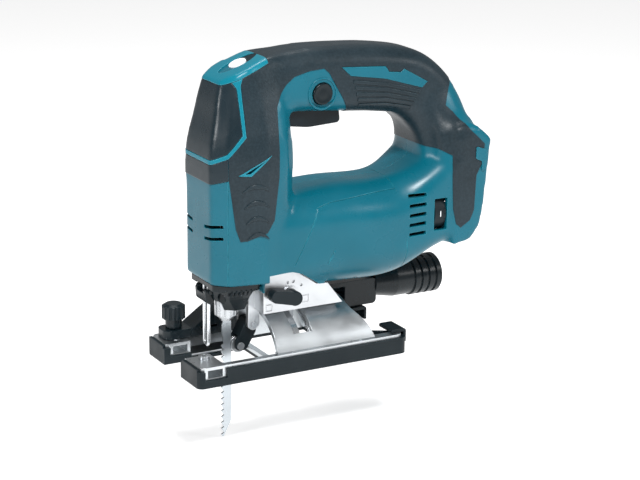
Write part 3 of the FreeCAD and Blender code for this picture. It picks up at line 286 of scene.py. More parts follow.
def finish_piece(obj, body, finish, stands_for=()):
    """Brings a piece to metres, shades it, and gives it its finish and the body it rides on."""
    obj.data.transform(Matrix.Scale(MM, 4))
    edit(obj, lambda bm: bmesh.ops.remove_doubles(bm, verts=bm.verts, dist=1e-7))
    obj.data.shade_smooth()
    obj.data.set_sharp_from_angle(angle=radians(SMOOTH_ANGLE))
    obj.data.materials.clear()
    obj.data.materials.append(FINISHES[finish])
    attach(obj, body)
    if stands_for:
        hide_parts(*stands_for)
    return obj


# ---- Moulded body ----
HEAD_LEVELS = [
    (57.0, 0.0, 17.5, 26.0, 31.0), (100.0, 0.0, 17.5, 26.0, 31.0), (137.0, 0.0, 17.5, 26.0, 31.0),
    (160.0, -4.3, 15.0, 23.0, 26.0), (177.0, -7.8, 13.0, 19.5, 21.0), (205.0, -16.0, 9.5, 14.0, 16.0),
]
HANDLE_LINE = [
    (18.0, 175.6, 175, 18.8, 18.0, 9.0), (-6.0, 177.8, 179, 20.0, 18.0, 11.0),
    (-35.0, 176.7, 182, 21.0, 18.0, 11.5), (-64.0, 174.4, 187, 21.3, 18.0, 12.0),
    (-88.0, 169.0, 208, 21.2, 18.3, 11.5), (-105.0, 153.0, 238, 20.3, 19.5, 10.5),
    (-112.0, 134.0, 258, 19.6, 23.0, 10.0), (-113.0, 112.0, 270, 19.4, 27.0, 10.0),
]
MOTOR_LINE = [
    (24.0, 83.5, 180, 20.0, 27.0, 14.0), (4.0, 79.5, 180, 30.0, 31.0, 20.0),
    (-30.0, 79.5, 180, 33.0, 32.0, 24.0), (-72.0, 79.5, 180, 33.0, 32.0, 24.0),
    (-100.0, 93.5, 180, 31.0, 33.5, 15.0), (-121.0, 105.0, 180, 33.0, 34.5, 9.0),
]
FLANGE_OUTLINE = [
    (-108.0, 65.5), (-121.5, 68.0), (-128.5, 76.5), (-131.0, 88.0), (-135.5, 134.0), (-132.5, 137.0),
    (-121.0, 146.5), (-108.0, 144.0)]
NECK_OUTLINE = [(25.0, 68.0), (22.5, 48.0), (-19.0, 45.5), (-26.0, 60.0), (-30.0, 68.0)]
ROOF_OUTLINE = [(70, 50), (70, 186), (46, 182.5), (41, 185.4), (16, 195.4), (-7, 198), (-10, 198), (-10, 50)]


def head_volume():
    bm = bmesh.new()
    loops = []
    for z, shift, flat, shoulder, wide in between(HEAD_LEVELS, 4):
        front = 56.0 + shift
        half = [(front, flat), (front - 8.5, shoulder), (24.0, wide), (9.0, wide - 2.0), (0.0, wide - 11.0)]
        outline = half + [(x, -y) for x, y in reversed(half)]
        loops.append([bm.verts.new((x, y, z)) for x, y in outline])
        for i, vert in enumerate(loops[-1]):
            bm.edges.new((loops[-1][i - 1], vert))
    skin_loops(bm, loops)
    head = new_object("head_volume", bm)
    return combine(head, prism("roof", ROOF_OUTLINE), "INTERSECT")


def shoulder_volume():
    """Where the handle widens into the battery flange."""
    bm = bmesh.new()
    loops = []
    for z, x0, x1, half in ((120.0, -131.0, -100.0, 33.0), (140.0, -131.5, -98.0, 29.5),
                            (151.0, -124.0, -97.0, 24.0), (162.0, -117.0, -95.0, 19.5)):
        loops.append(loop_at(bm, Vector(((x0 + x1) / 2, 0, z)), Vector((1, 0, 0)), Vector((0, 1, 0)),
                             (x1 - x0) / 2, half, 7.0))
    skin_loops(bm, loops)
    return new_object("shoulder_volume", bm)


def soften(bm, centre, reach, repeat):
    """Smooths round one corner of the side view more than the rest."""
    near = []
    for vert in bm.verts:
        away = sqrt((vert.co.x - centre[0]) ** 2 + (vert.co.z - centre[1]) ** 2)
        if away < reach:
            near.append(vert)
    for _ in range(repeat):
        bmesh.ops.smooth_vert(bm, verts=near, factor=0.5, use_axis_x=True, use_axis_y=True, use_axis_z=True)


def moulded_body():
    sizes = bpy.context.scene.jigsaw_sizes
    volumes = [head_volume(), path_loft("handle_volume", HANDLE_LINE),
               path_loft("motor_volume", MOTOR_LINE), shoulder_volume(),
               prism("flange_volume", FLANGE_OUTLINE, -36, 36), prism("neck_volume", NECK_OUTLINE, -24, 24)]
    body = volumes[0]
    for volume in volumes[1:]:
        combine(body, volume, "UNION")
    remesh = body.modifiers.new("even", "REMESH")
    remesh.mode = "VOXEL"
    remesh.voxel_size = sizes.grain
    settle(body)

    def ease(bm):
        for _ in range(sizes.rounding):
            bmesh.ops.smooth_vert(bm, verts=bm.verts, factor=0.5, use_axis_x=True, use_axis_y=True,
                                  use_axis_z=True)
        for centre, reach, repeat in SOFT_CORNERS:
            soften(bm, centre, reach, repeat)
        bmesh.ops.recalc_face_normals(bm, faces=bm.faces)
    edit(body, ease)
    return body


SOFT_CORNERS = [
    ((2.0, 112.0), 14.0, 24), ((-88.0, 112.0), 14.0, 16), ((2.0, 156.0), 12.0, 24),
    ((8.0, 190.0), 22.0, 24), ((-104.0, 140.0), 20.0, 30), ((-112.0, 152.0), 16.0, 24),
]


# ---- Outlines of the mouldings in the side view ----
GRIP_OUTLINE = [
    (47.6, 124.5), (43.4, 93.9), (40.5, 86.0), (36.0, 86.3), (23.5, 90.5), (18.5, 98.0), (15.5, 123.7),
    (14.6, 150.0), (13.3, 166.0), (9.1, 172.8), (4.6, 178.0), (-1.1, 182.3), (-11.5, 184.9), (-21.5, 185.6),
    (-25.0, 182.6), (-40.0, 157.5), (-41.0, 140.5), (-73.1, 140.5), (-80.6, 134.4), (-94.4, 129.7),
    (-100.0, 128.9), (-107.0, 125.0), (-106.7, 112.0), (-107.6, 90.0), (-109.5, 80.6), (-113.0, 77.6),
    (-120.0, 81.8), (-122.9, 88.1), (-123.9, 111.2), (-129.0, 120.4), (-129.4, 131.3), (-118.8, 141.2),
    (-112.6, 151.0), (-108.0, 155.5), (-112.0, 165.0), (-140.0, 212.0), (16.5, 212.0), (16.5, 192.0),
    (36.0, 184.0), (36.0, 150.0), (47.6, 138.0)]
BAND_OUTLINE = [(47.6, 124.5), (57, 121), (62, 121), (62, 133.6), (55.8, 133.6), (47.6, 138.0)]
TRIM_OUTLINE = [(62, 133.6), (55.8, 133.6), (47.6, 138.0), (36, 150), (36.4, 180), (34.5, 184.6),
                (41.0, 182.2), (38.9, 178.5), (38.2, 151.4), (48.2, 140.5), (55.8, 136.2), (62, 136.2)]
CAP_OUTLINE = [(62, 136.2), (55.8, 136.2), (48.2, 140.5), (38.2, 151.4), (38.9, 178.5), (41.0, 182.2),
               (46, 180.5), (60, 179.5)]
TOP_OUTLINE = [(60, 179.5), (46, 180.5), (36, 184), (16.5, 192), (16.5, 212), (60, 212)]
COVER_OUTLINE = [(62, 121), (57, 121), (47.6, 124.5), (47.6, 50), (62, 50)]
ACCENT_OUTLINE = [(-33.6, 185.5), (-65.2, 183.5), (-67.8, 179.8), (-76.3, 178.9), (-78.7, 180.8),
                  (-96.2, 171.3), (-92.0, 167.6), (-65.0, 175.6), (-40.2, 179.4)]
VENT_OUTLINE = [(38.0, 128.2), (24.0, 136.4), (34.6, 128.0)]
BRACKET_CLEARANCE = [(21.8, 34.7), (21.8, 62.5), (5.0, 62.5), (-1.5, 60.5), (-16.5, 50.5), (-24.5, 50.0),
                     (-35.5, 35.7), (-35.0, 34.7)]
BATTERY_REAR = -135.5
BAY_FRONT = -126.5
BAY_HALF = 28.5
DIAL = (-99.5, 87.5)
BUTTON = (-20.7, 170.0)
BUTTON_RADIUS = 6.75
BUTTON_HOLE_RADIUS = 7.15
LOUVRE_COUNT = 5
LOUVRE_LOW = 74.9
LOUVRE_PITCH = 6.2
PART_LINE_HALF = 0.24
SEAM = 0.14                   # half the gap between two mouldings that meet
HALF_GAP = 0.07               # the same at the middle plane
SKIN_DEPTH = 1.7
TRIM_PROUD = 0.22
TRIM_DEPTH = 1.9
SHELL_DEPTH = 3.0
GROOVE_REACH = 1.0            # how far outside the body a groove's cutter starts
GROOVE_DEPTH = 0.35           # below the shell's face
RAISED_PROUD = 0.5
RAISED_DEPTH = 1.2
RIB_COUNT = 5
WAVE_COUNT = 4
FRAME_GROW = 1.5              # width of the rim round a side vent
TOP_SLOPE = atan2(10.6, 25.0)
TOP_X = 29.0
RECESS_Z = 190.4
BADGE_Z = 190.6
RECESS_SIZE = (13.5, 6.6)
DISH_SIZE = (13.4, 6.5)
BADGE_RADIUS = 5.6
COVER_SLOT_TOP = 94.5
COVER_SLOT_PITCH = 7.5
COVER_SLOT_Y = 15.5


def resized(points, amount):
    """Outline moved outwards by an amount, or inwards if it is negative."""
    area = sum(a[0] * b[1] - b[0] * a[1] for a, b in zip(points, points[1:] + points[:1]))
    turn = 1 if area > 0 else -1
    result = []
    for i, corner in enumerate(points):
        before = (Vector(corner) - Vector(points[i - 1])).normalized()
        after = (Vector(points[(i + 1) % len(points)]) - Vector(corner)).normalized()
        n1, n2 = Vector((before.y, -before.x)), Vector((after.y, -after.x))
        middle = (n1 + n2).normalized()
        reach = turn * amount / max(middle.dot(n1), 0.35)
        result.append((corner[0] + middle.x * reach, corner[1] + middle.y * reach))
    return result


def walled(body, name, outside, depth):
    """Closed skin of the moulded body, from outside its surface to depth below that."""
    skin = grown(body, name, outside)
    inner = grown(body, name + "_inner", outside - depth)
    combine(skin, inner, "DIFFERENCE")
    return skin


def openings():
    """Everything that is cut through the shells and the grips."""
    x, z = BUTTON
    made = [
        prism("cut", BRACKET_CLEARANCE),
        block("cut", (-60, -21.5, 20), (30, 21.5, 46)),
        block("cut", (-40.7, -8.6, 140), (3.0, 8.6, 176)),
        block("cut", (DIAL[0] - 4.7, 20, DIAL[1] - 10.5), (DIAL[0] + 4.7, FAR, DIAL[1] + 10.5), 0.6),
        block("cut", (BATTERY_REAR - 5, -BAY_HALF, 76), (BAY_FRONT, BAY_HALF, 160)),
        block("cut", (22.9, -30, 40), (60, 30, 57.2)),
    ]
    bm = bmesh.new()
    turned_bar(bm, (x, -40, z), (x, 40, z), BUTTON_HOLE_RADIUS, segments=48)
    made.append(new_object("cut", bm))
    for number in range(LOUVRE_COUNT):
        low = LOUVRE_LOW + number * LOUVRE_PITCH
        slot = [(-77.0, low), (-89.3, low + 0.6), (-89.0, low + 3.1), (-77.2, low + 2.4)]
        for side in (1, -1):
            y0, y1 = sorted((side * 20, side * FAR))
            made.append(prism("cut", slot, y0, y1, round_by=0.5))
    for side in (1, -1):
        y0, y1 = sorted((side * 16, side * FAR))
        made.append(prism("cut", VENT_OUTLINE, y0, y1, round_by=0.4))
    return made


def part_lines():
    """Shallow grooves where the shells are stepped or joined."""
    lines = [
        [(-12.3, 100.7), (-21.7, 102.9), (-45.0, 104.2), (-69.7, 105.5)],
        [(-12.3, 100.7), (-6.6, 88.9), (4.5, 66.5)],
        [(-56.0, 128.0), (-61.5, 122.6), (-66.3, 118.6), (-69.6, 112.7), (-70.4, 104.1)],
        [(-23.4, 73.8), (-18.6, 64.7)],
        [(-75.2, 75.4), (-76.2, 64.6), (-76.4, 50.0)],
    ]
    return [strip(line, PART_LINE_HALF) for line in lines]


class JIGSAW_OT_shells(bpy.types.Operator):
    """Moulds the two shells, the grips and the trims over one smooth body"""
    bl_idname = "jigsaw.shells"
    bl_label = "Shells and grips"

    def execute(self, context):
        gap = context.scene.jigsaw_sizes.joint_gap
        body = moulded_body()
        cuts = openings()
        tool = cuts[0]
        for other in cuts[1:]:
            combine(tool, other, "UNION")
        grips = walled(body, "grips", 0.0, SKIN_DEPTH)
        proud = walled(body, "proud", TRIM_PROUD, TRIM_DEPTH)
        combine(grips, tool, "DIFFERENCE", keep_tool=True)
        combine(proud, tool, "DIFFERENCE", keep_tool=True)

        def piece(source, name, outline):
            made = copy_of(source, name)
            return combine(made, prism("zone", resized(outline, -SEAM)), "INTERSECT")

        rubber = piece(grips, "grip_overmould", GRIP_OUTLINE)
        combine(rubber, prism("zone", resized(ACCENT_OUTLINE, SEAM)), "DIFFERENCE")
        frame_hole = prism("zone", resized(VENT_OUTLINE, FRAME_GROW))
        combine(rubber, frame_hole, "DIFFERENCE")
        finish_piece(rubber, "housing", "rubber", ("grip_left", "grip_right"))
        accent = piece(proud, "handle_accents", ACCENT_OUTLINE)
        vent_frames = piece(proud, "vent_frames", resized(VENT_OUTLINE, FRAME_GROW))
        finish_piece(accent, "housing", "shell")
        finish_piece(vent_frames, "housing", "trim")
        band = piece(grips, "front_band_moulding", BAND_OUTLINE)
        finish_piece(band, "housing", "rubber_smooth", ("front_band",))
        cap = piece(grips, "front_cap_moulding", CAP_OUTLINE)
        finish_piece(cap, "housing", "rubber_smooth", ("front_cap",))
        trim = piece(proud, "chevron_moulding", TRIM_OUTLINE)
        finish_piece(trim, "housing", "trim", ("chevron_trim",))
        top = piece(proud, "top_moulding", TOP_OUTLINE)
        hollow = bmesh.new()
        turned_bar(hollow, (0, 0, -1.6), (0, 0, 8), 1.0, segments=64)
        bmesh.ops.scale(hollow, verts=hollow.verts, vec=(*RECESS_SIZE, 1))
        bmesh.ops.rotate(hollow, verts=hollow.verts, cent=(0, 0, 0),
                         matrix=Matrix.Rotation(TOP_SLOPE, 3, "Y"))
        bmesh.ops.translate(hollow, verts=hollow.verts, vec=(TOP_X, 0, RECESS_Z))
        combine(top, new_object("zone", hollow), "DIFFERENCE")
        finish_piece(top, "housing", "trim", ("top_frame",))

        shell = walled(body, "shell", -gap, SHELL_DEPTH)
        combine(shell, tool, "DIFFERENCE")
        cover = piece(shell, "front_cover_moulding", COVER_OUTLINE)
        for side in (1, -1):
            for number in range(2):
                z = COVER_SLOT_TOP - number * COVER_SLOT_PITCH
                slot = block("slot", (44, -7.6, -1.0), (70, 7.6, 1.0), 0.6)
                tilt = Matrix.Rotation(radians(8 * side), 4, "X")
                slot.data.transform(Matrix.Translation((0, side * COVER_SLOT_Y, z)) @ tilt)
                combine(cover, slot, "DIFFERENCE")
        finish_piece(cover, "housing", "shell", ("front_cover",))
        combine(shell, prism("zone", COVER_OUTLINE), "DIFFERENCE")
        crust = walled(body, "crust", GROOVE_REACH, GROOVE_REACH + gap + GROOVE_DEPTH)
        for outline in part_lines():
            groove = copy_of(crust, "groove")
            combine(groove, prism("zone", outline), "INTERSECT")
            combine(shell, groove, "DIFFERENCE")
        left = copy_of(shell, "shell_left")
        combine(left, block("half", (-200, HALF_GAP, 0), (100, 90, 260)), "INTERSECT")
        combine(shell, block("half", (-200, -90, 0), (100, -HALF_GAP, 260)), "INTERSECT")
        shell.name = "shell_right"
        finish_piece(left, "housing", "shell", ("housing_left",))
        finish_piece(shell, "housing", "shell", ("housing_right",))
        drop(grips, proud, crust)
        SHARED["body"] = body
        return {"FINISHED"}


# ---- Finishes ----
REFRACTIVE_INDEX = 1.46


def surface(name, colour, rough, metal=0.0, specular=0.5, shade=0.12, patch=18.0, fine=900.0,
            fine_height=0.02, rough_spread=0.08, edge=0.0, edge_wear_and_highlight_colour=(0.8, 0.8, 0.8), soft_edge=0.5,
            brushed=None, brushed_height=0.05, mottle=0.0, mottle_scale=260.0):
    """Moulded, machined or cast surface: patchy tone, fine relief, soft edges, and edges lightened as wear
    and painted highlight.
    """
    mat = bpy.data.materials.new(name)
    mat.use_nodes = True
    nodes, links = mat.node_tree.nodes, mat.node_tree.links
    shader = nodes["Principled BSDF"]
    shader.inputs["Metallic"].default_value = metal
    shader.inputs["Specular IOR Level"].default_value = specular
    shader.inputs["IOR"].default_value = REFRACTIVE_INDEX
    place = nodes.new("ShaderNodeTexCoord")

    def noise(scale, detail=3.0, stretch=None, roughness=0.55):
        made = nodes.new("ShaderNodeTexNoise")
        made.inputs["Scale"].default_value = scale
        made.inputs["Detail"].default_value = detail
        made.inputs["Roughness"].default_value = roughness
        if stretch:
            mapping = nodes.new("ShaderNodeMapping")
            mapping.inputs["Scale"].default_value = stretch
            links.new(place.outputs["Object"], mapping.inputs["Vector"])
            links.new(mapping.outputs["Vector"], made.inputs["Vector"])
        else:
            links.new(place.outputs["Object"], made.inputs["Vector"])
        return made.outputs["Fac"]

    def ranged(value, low, high, start=0.3, stop=0.7):
        made = nodes.new("ShaderNodeMapRange")
        made.inputs["From Min"].default_value = start
        made.inputs["From Max"].default_value = stop
        made.inputs["To Min"].default_value = low
        made.inputs["To Max"].default_value = high
        links.new(value, made.inputs["Value"])
        return made.outputs["Result"]

    def blend(factor, one, two):
        made = nodes.new("ShaderNodeMix")
        made.data_type = "RGBA"
        links.new(factor, made.inputs["Factor"])
        for socket, value in (("A", one), ("B", two)):
            target = [s for s in made.inputs if s.name == socket and s.type == "RGBA"][0]
            if isinstance(value, bpy.types.NodeSocket):
                links.new(value, target)
            else:
                target.default_value = (*value, 1.0)
        return [s for s in made.outputs if s.type == "RGBA"][0]

    dark = tuple(c * (1 - shade) for c in colour)
    light = tuple(min(c * (1 + shade) + 0.002, 1.0) for c in colour)
    tone = blend(ranged(noise(patch), 0.0, 1.0), dark, light)
    if mottle:
        cells = noise(mottle_scale, 2.0, roughness=0.7)
        tone = blend(ranged(cells, 0.0, mottle, 0.42, 0.66), tone,
                     tuple(min(c * 1.9 + 0.01, 1.0) for c in colour))
    rounded = nodes.new("ShaderNodeBevel")
    rounded.samples = 6
    rounded.inputs["Radius"].default_value = soft_edge * MM
    # Edges are lightened towards a lighter colour: partly wear, partly a painted highlight along the rims.
    if edge:
        geometry = nodes.new("ShaderNodeNewGeometry")
        facing = nodes.new("ShaderNodeVectorMath")
        facing.operation = "DOT_PRODUCT"
        links.new(rounded.outputs["Normal"], facing.inputs[0])
        links.new(geometry.outputs["Normal"], facing.inputs[1])
        edge_wear_and_highlight = nodes.new("ShaderNodeMath")
        edge_wear_and_highlight.operation = "MULTIPLY"
        links.new(ranged(facing.outputs["Value"], edge, 0.0, 0.88, 0.995), edge_wear_and_highlight.inputs[0])
        links.new(ranged(noise(140.0), 0.2, 1.0), edge_wear_and_highlight.inputs[1])
        tone = blend(edge_wear_and_highlight.outputs["Value"], tone, edge_wear_and_highlight_colour)
    links.new(tone, shader.inputs["Base Color"])
    sheen = ranged(noise(patch * 3.1), rough - rough_spread, rough + rough_spread)
    links.new(sheen, shader.inputs["Roughness"])
    normal = rounded.outputs["Normal"]
    layers = [(fine, fine_height, None)]
    if mottle:
        layers.append((mottle_scale * 1.6, 0.10, None))
    if brushed:
        layers.append((1.0, brushed_height, brushed))
    for scale, height, stretch in layers:
        bump = nodes.new("ShaderNodeBump")
        bump.inputs["Strength"].default_value = 1.0
        bump.inputs["Distance"].default_value = height * MM
        links.new(noise(scale, 2.0, stretch), bump.inputs["Height"])
        links.new(normal, bump.inputs["Normal"])
        normal = bump.outputs["Normal"]
    links.new(normal, shader.inputs["Normal"])
    FINISHES[name] = mat
    return mat


class JIGSAW_OT_finishes(bpy.types.Operator):
    """Makes the plastics and metals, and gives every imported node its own"""
    bl_idname = "jigsaw.finishes"
    bl_label = "Finishes"

    def execute(self, context):
        c = context.scene.jigsaw_colours
        along_x, along_z = (60.0, 2600.0, 2600.0), (2600.0, 2600.0, 60.0)
        # The light teal edge colours of the shell and the trim are painted highlights.
        surface("shell", c.shell, 0.3, shade=0.08, specular=0.3, edge=0.6, edge_wear_and_highlight_colour=(0.04, 0.36, 0.46),
                soft_edge=0.6, fine=1500, fine_height=0.012)
        # The trim's lighter teal is the shell teal with a painted highlight.
        surface("trim", c.shell_highlit, 0.28, shade=0.06, specular=0.3, edge=0.7,
                edge_wear_and_highlight_colour=(0.12, 0.48, 0.58), soft_edge=0.5)
        # Near-black finish for the badge recess floor: painted shade.
        surface("recess_shade", (0.004, 0.012, 0.017), 0.6, shade=0.2, specular=0.2, soft_edge=0.3)
        surface("rubber", c.rubber, 0.4, specular=0.3, shade=0.15, mottle=0.3, mottle_scale=620, edge=0.25,
                edge_wear_and_highlight_colour=(0.05, 0.09, 0.11), soft_edge=0.6, fine=2200, fine_height=0.03, patch=30,
                rough_spread=0.06)
        surface("rubber_smooth", c.rubber, 0.3, specular=0.3, shade=0.15, edge=0.3,
                edge_wear_and_highlight_colour=(0.08, 0.14, 0.17), soft_edge=0.8, patch=24)
        surface("black", c.black, 0.28, specular=0.3, shade=0.2, edge=0.3, edge_wear_and_highlight_colour=(0.05, 0.08, 0.10),
                soft_edge=0.5)
        surface("satin_black", c.black, 0.45, specular=0.25, shade=0.2, edge=0.25,
                edge_wear_and_highlight_colour=(0.05, 0.08, 0.10), soft_edge=0.4)
        surface("cover", c.black, 0.5, specular=0.25, shade=0.15, edge=0.4,
                edge_wear_and_highlight_colour=(0.08, 0.11, 0.13), soft_edge=0.5, fine=1300, fine_height=0.03)
        surface("aluminium", c.aluminium, 0.33, metal=1.0, shade=0.08, edge=0.7,
                edge_wear_and_highlight_colour=(0.93, 0.94, 0.95), soft_edge=0.3, brushed=along_x, brushed_height=0.02)
        surface("arch_bright", (0.80, 0.81, 0.82), 0.2, metal=1.0, shade=0.04, soft_edge=0.3,
                brushed=along_x, brushed_height=0.012)
        surface("bracket", c.steel, 0.38, metal=1.0, shade=0.1, edge=0.6, edge_wear_and_highlight_colour=(0.9, 0.9, 0.92),
                soft_edge=0.35, brushed=along_x, brushed_height=0.03)
        surface("steel", (0.62, 0.64, 0.66), 0.24, metal=1.0, shade=0.06, edge=0.5, soft_edge=0.25,
                brushed=along_z, brushed_height=0.01)
        surface("turned_steel", (0.5, 0.52, 0.54), 0.3, metal=1.0, shade=0.1, edge=0.6, soft_edge=0.25)
        surface("blade_steel", (0.50, 0.54, 0.57), 0.3, metal=1.0, shade=0.12, edge=0.5, soft_edge=0.15,
                brushed=along_z, brushed_height=0.02)
        surface("screw", (0.30, 0.31, 0.32), 0.3, metal=1.0, shade=0.15, edge=0.5, soft_edge=0.2)
        surface("gear", (0.42, 0.42, 0.41), 0.35, metal=1.0, shade=0.15, edge=0.5, soft_edge=0.2)
        surface("bronze", (0.55, 0.36, 0.16), 0.4, metal=1.0, shade=0.15, edge=0.4, soft_edge=0.2)
        surface("copper", (0.62, 0.28, 0.14), 0.35, metal=1.0, shade=0.15, soft_edge=0.2)
        surface("magnet", (0.10, 0.10, 0.11), 0.4, metal=0.8, shade=0.15, soft_edge=0.2)
        surface("badge_silver", (0.78, 0.80, 0.82), 0.3, shade=0.05, edge=0.4, soft_edge=0.3)
        surface("board", (0.01, 0.10, 0.04), 0.4, shade=0.2, soft_edge=0.2)
        surface("white_print", (0.80, 0.82, 0.84), 0.45, shade=0.04, soft_edge=0.1)
        lens = surface("lens", (0.85, 0.88, 0.90), 0.12, shade=0.03, soft_edge=0.3)
        lens.node_tree.nodes["Principled BSDF"].inputs["Transmission Weight"].default_value = 0.8
        for finish, names in NODE_FINISHES.items():
            for name in names.split():
                mesh = NODES[name].data
                mesh.materials.clear()
                mesh.materials.append(FINISHES[finish])
        return {"FINISHED"}


NODE_FINISHES = {
    "shell": "housing_left housing_right front_cover side_badges",
    "trim": "chevron_trim top_frame",
    "rubber": "grip_left grip_right",
    "rubber_smooth": "front_band front_cap",
    "black": "dust_nozzle nozzle_knob nose_guard lock_button release_lever",
    "satin_black": "roller_fork orbital_lever trigger switch_body terminal_block battery_rails speed_dial",
    "cover": "base_cover",
    "aluminium": "base_casting gear_housing",
    "bracket": "bevel_bracket lever_washer",
    "steel": "wire_guard plunger bevel_shoe guide_roller motor_shaft trigger_pin trigger_spring",
    "turned_steel": "clamp_body clamp_sleeve roller_pin fork_pin fence_screw bevel_bolt",
    "blade_steel": "blade",
    "screw": "housing_screws",
    "gear": "crank_gear pinion crank_roller crank_bearing front_bearing rear_bearing motor_fan",
    "bronze": "lower_bush upper_bush",
    "copper": "motor_stator",
    "magnet": "motor_rotor",
    "badge_silver": "top_badge",
    "board": "controller_board",
    "lens": "led_lens",
}


# ---- Details on the shells ----
class JIGSAW_OT_grip_details(bpy.types.Operator):
    """Raises the finger ribs and the wave pattern on the grips, and fits the badge"""
    bl_idname = "jigsaw.grip_details"
    bl_label = "Grip details"

    def execute(self, context):
        body = SHARED["body"]
        raised = walled(body, "raised", RAISED_PROUD, RAISED_DEPTH)
        ribs = None
        for number in range(RIB_COUNT):
            a = Vector((-42.5 - 1.1 * number, 175.6 - 3.9 * number))
            b = Vector((-90.5 + 1.6 * number, 165.4 - 2.5 * number))
            middle = (a + b) / 2 + Vector((0.0, 1.4))
            outline = strip([tuple(a), tuple(middle), tuple(b)], 1.05)
            rib = combine(copy_of(raised, "rib"), prism("zone", outline), "INTERSECT")
            ribs = rib if ribs is None else combine(ribs, rib, "UNION")
        ribs.name = "grip_ribs"
        finish_piece(ribs, "housing", "rubber_smooth")
        waves = None
        for number in range(WAVE_COUNT):
            peak = 121.5 - 10.0 * number
            middle, reach = 31.0 - 0.5 * number, 8.4 - 0.5 * number
            steps = [step / 6 - 1 for step in range(13)]
            upper = [(middle + reach * u, peak - 4.6 * u * u) for u in steps]
            lower = [(middle + reach * u, peak - 2.4 - 2.4 * u * u) for u in steps[::-1]]
            wave = combine(copy_of(raised, "wave"), prism("zone", upper + lower), "INTERSECT")
            waves = wave if waves is None else combine(waves, wave, "UNION")
        waves.name = "grip_waves"
        finish_piece(waves, "housing", "rubber_smooth")
        drop(raised)

        place = Matrix.Translation((TOP_X, 0, BADGE_Z)) @ Matrix.Rotation(TOP_SLOPE, 4, "Y")
        bm = bmesh.new()
        turned_bar(bm, (0, 0, -3.0), (0, 0, -0.9), 1.0, segments=64)
        bmesh.ops.scale(bm, verts=bm.verts, vec=(*DISH_SIZE, 1))
        dish = new_object("badge_dish", bm)
        dish.data.transform(place)
        # The dish darkens the recess round the badge with painted shade.
        finish_piece(dish, "housing", "recess_shade")
        bm = bmesh.new()
        disc = turned_bar(bm, (0, 0, -1.8), (0, 0, 0.1), BADGE_RADIUS, segments=64, bevel=0.35)
        crown = [f for f in bm.faces if f.normal.z > 0.99 and f.calc_center_median().z > 0.0]
        bmesh.ops.inset_region(bm, faces=crown, thickness=0.7, depth=-0.25)
        crown = [f for f in bm.faces if f.normal.z > 0.99 and len(f.verts) > 20]
        bmesh.ops.inset_region(bm, faces=crown, thickness=2.0, depth=0.2)
        disc = new_object("badge_disc", bm)
        disc.data.transform(place)
        finish_piece(disc, "housing", "badge_silver", ("top_badge",))
        return {"FINISHED"}


# ---- Controls ----
class JIGSAW_OT_controls(bpy.types.Operator):
    """Makes the lock button and its ring, and numbers the speed dial"""
    bl_idname = "jigsaw.controls"
    bl_label = "Controls"

    def execute(self, context):
        x, z = BUTTON
        bm = bmesh.new()
        turned_bar(bm, (x, 8.7, z), (x, 18.9, z), BUTTON_RADIUS, segments=64, bevel=0.9)
        face = [f for f in bm.faces if f.normal.y > 0.99 and len(f.verts) > 20]
        bmesh.ops.inset_region(bm, faces=face, thickness=0.9, depth=-0.35)
        face = [f for f in bm.faces if f.normal.y > 0.99 and len(f.verts) > 20]
        bmesh.ops.inset_region(bm, faces=face, thickness=2.4, depth=0.3)
        turned_bar(bm, (x, -14.0, z), (x, 9.0, z), 3.2, segments=32)
        turned_bar(bm, (x, -10.9, z), (x, -8.7, z), BUTTON_RADIUS, segments=64, bevel=0.5)
        cap = new_object("lock_button_cap", bm)
        finish_piece(cap, "lock_button", "black", ("lock_button",))
        bm = bmesh.new()
        bmesh.ops.create_cone(bm, cap_ends=False, segments=64, radius1=8.9, radius2=8.9, depth=0.9)
        bmesh.ops.solidify(bm, geom=bm.faces, thickness=-1.2)
        bmesh.ops.recalc_face_normals(bm, faces=bm.faces)
        bmesh.ops.bevel(bm, geom=[e for e in bm.edges if e.calc_face_angle(0) > 1.0], offset=0.35,
                        offset_type="OFFSET", affect="EDGES", segments=3, profile=0.5, material=-1)
        bmesh.ops.rotate(bm, verts=bm.verts, cent=(0, 0, 0), matrix=Matrix.Rotation(pi / 2, 3, "X"))
        bmesh.ops.translate(bm, verts=bm.verts, vec=(x, 17.5, z))
        finish_piece(new_object("lock_ring", bm), "housing", "shell")
        low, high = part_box("speed_dial")
        hub = (low + high) / 2 / MM
        radius = (high.z - low.z) / 2 / MM
        digits = None
        for number in range(6):
            text = bpy.data.curves.new("digit", "FONT")
            text.body = str(number + 1)
            text.size = 5.6
            text.extrude = 0.12
            text.align_x = "CENTER"
            text.align_y = "CENTER"
            written = bpy.data.objects.new("digit", text)
            context.scene.collection.objects.link(written)
            graph = context.evaluated_depsgraph_get()
            mesh = bpy.data.meshes.new_from_object(written.evaluated_get(graph))
            bpy.data.objects.remove(written)
            stand = Matrix.Rotation(radians(180), 4, "Z") @ Matrix.Rotation(radians(90), 4, "X")
            angle = Matrix.Rotation(radians(60 * number), 4, "X")
            rim = Matrix.Translation((0, radius - 0.02, 0))
            mesh.transform(Matrix.Translation(hub) @ angle @ rim @ stand)
            digit = bpy.data.objects.new("digit_%d" % (number + 1), mesh)
            context.scene.collection.objects.link(digit)
            finish_piece(digit, "speed_dial", "white_print")
        return {"FINISHED"}


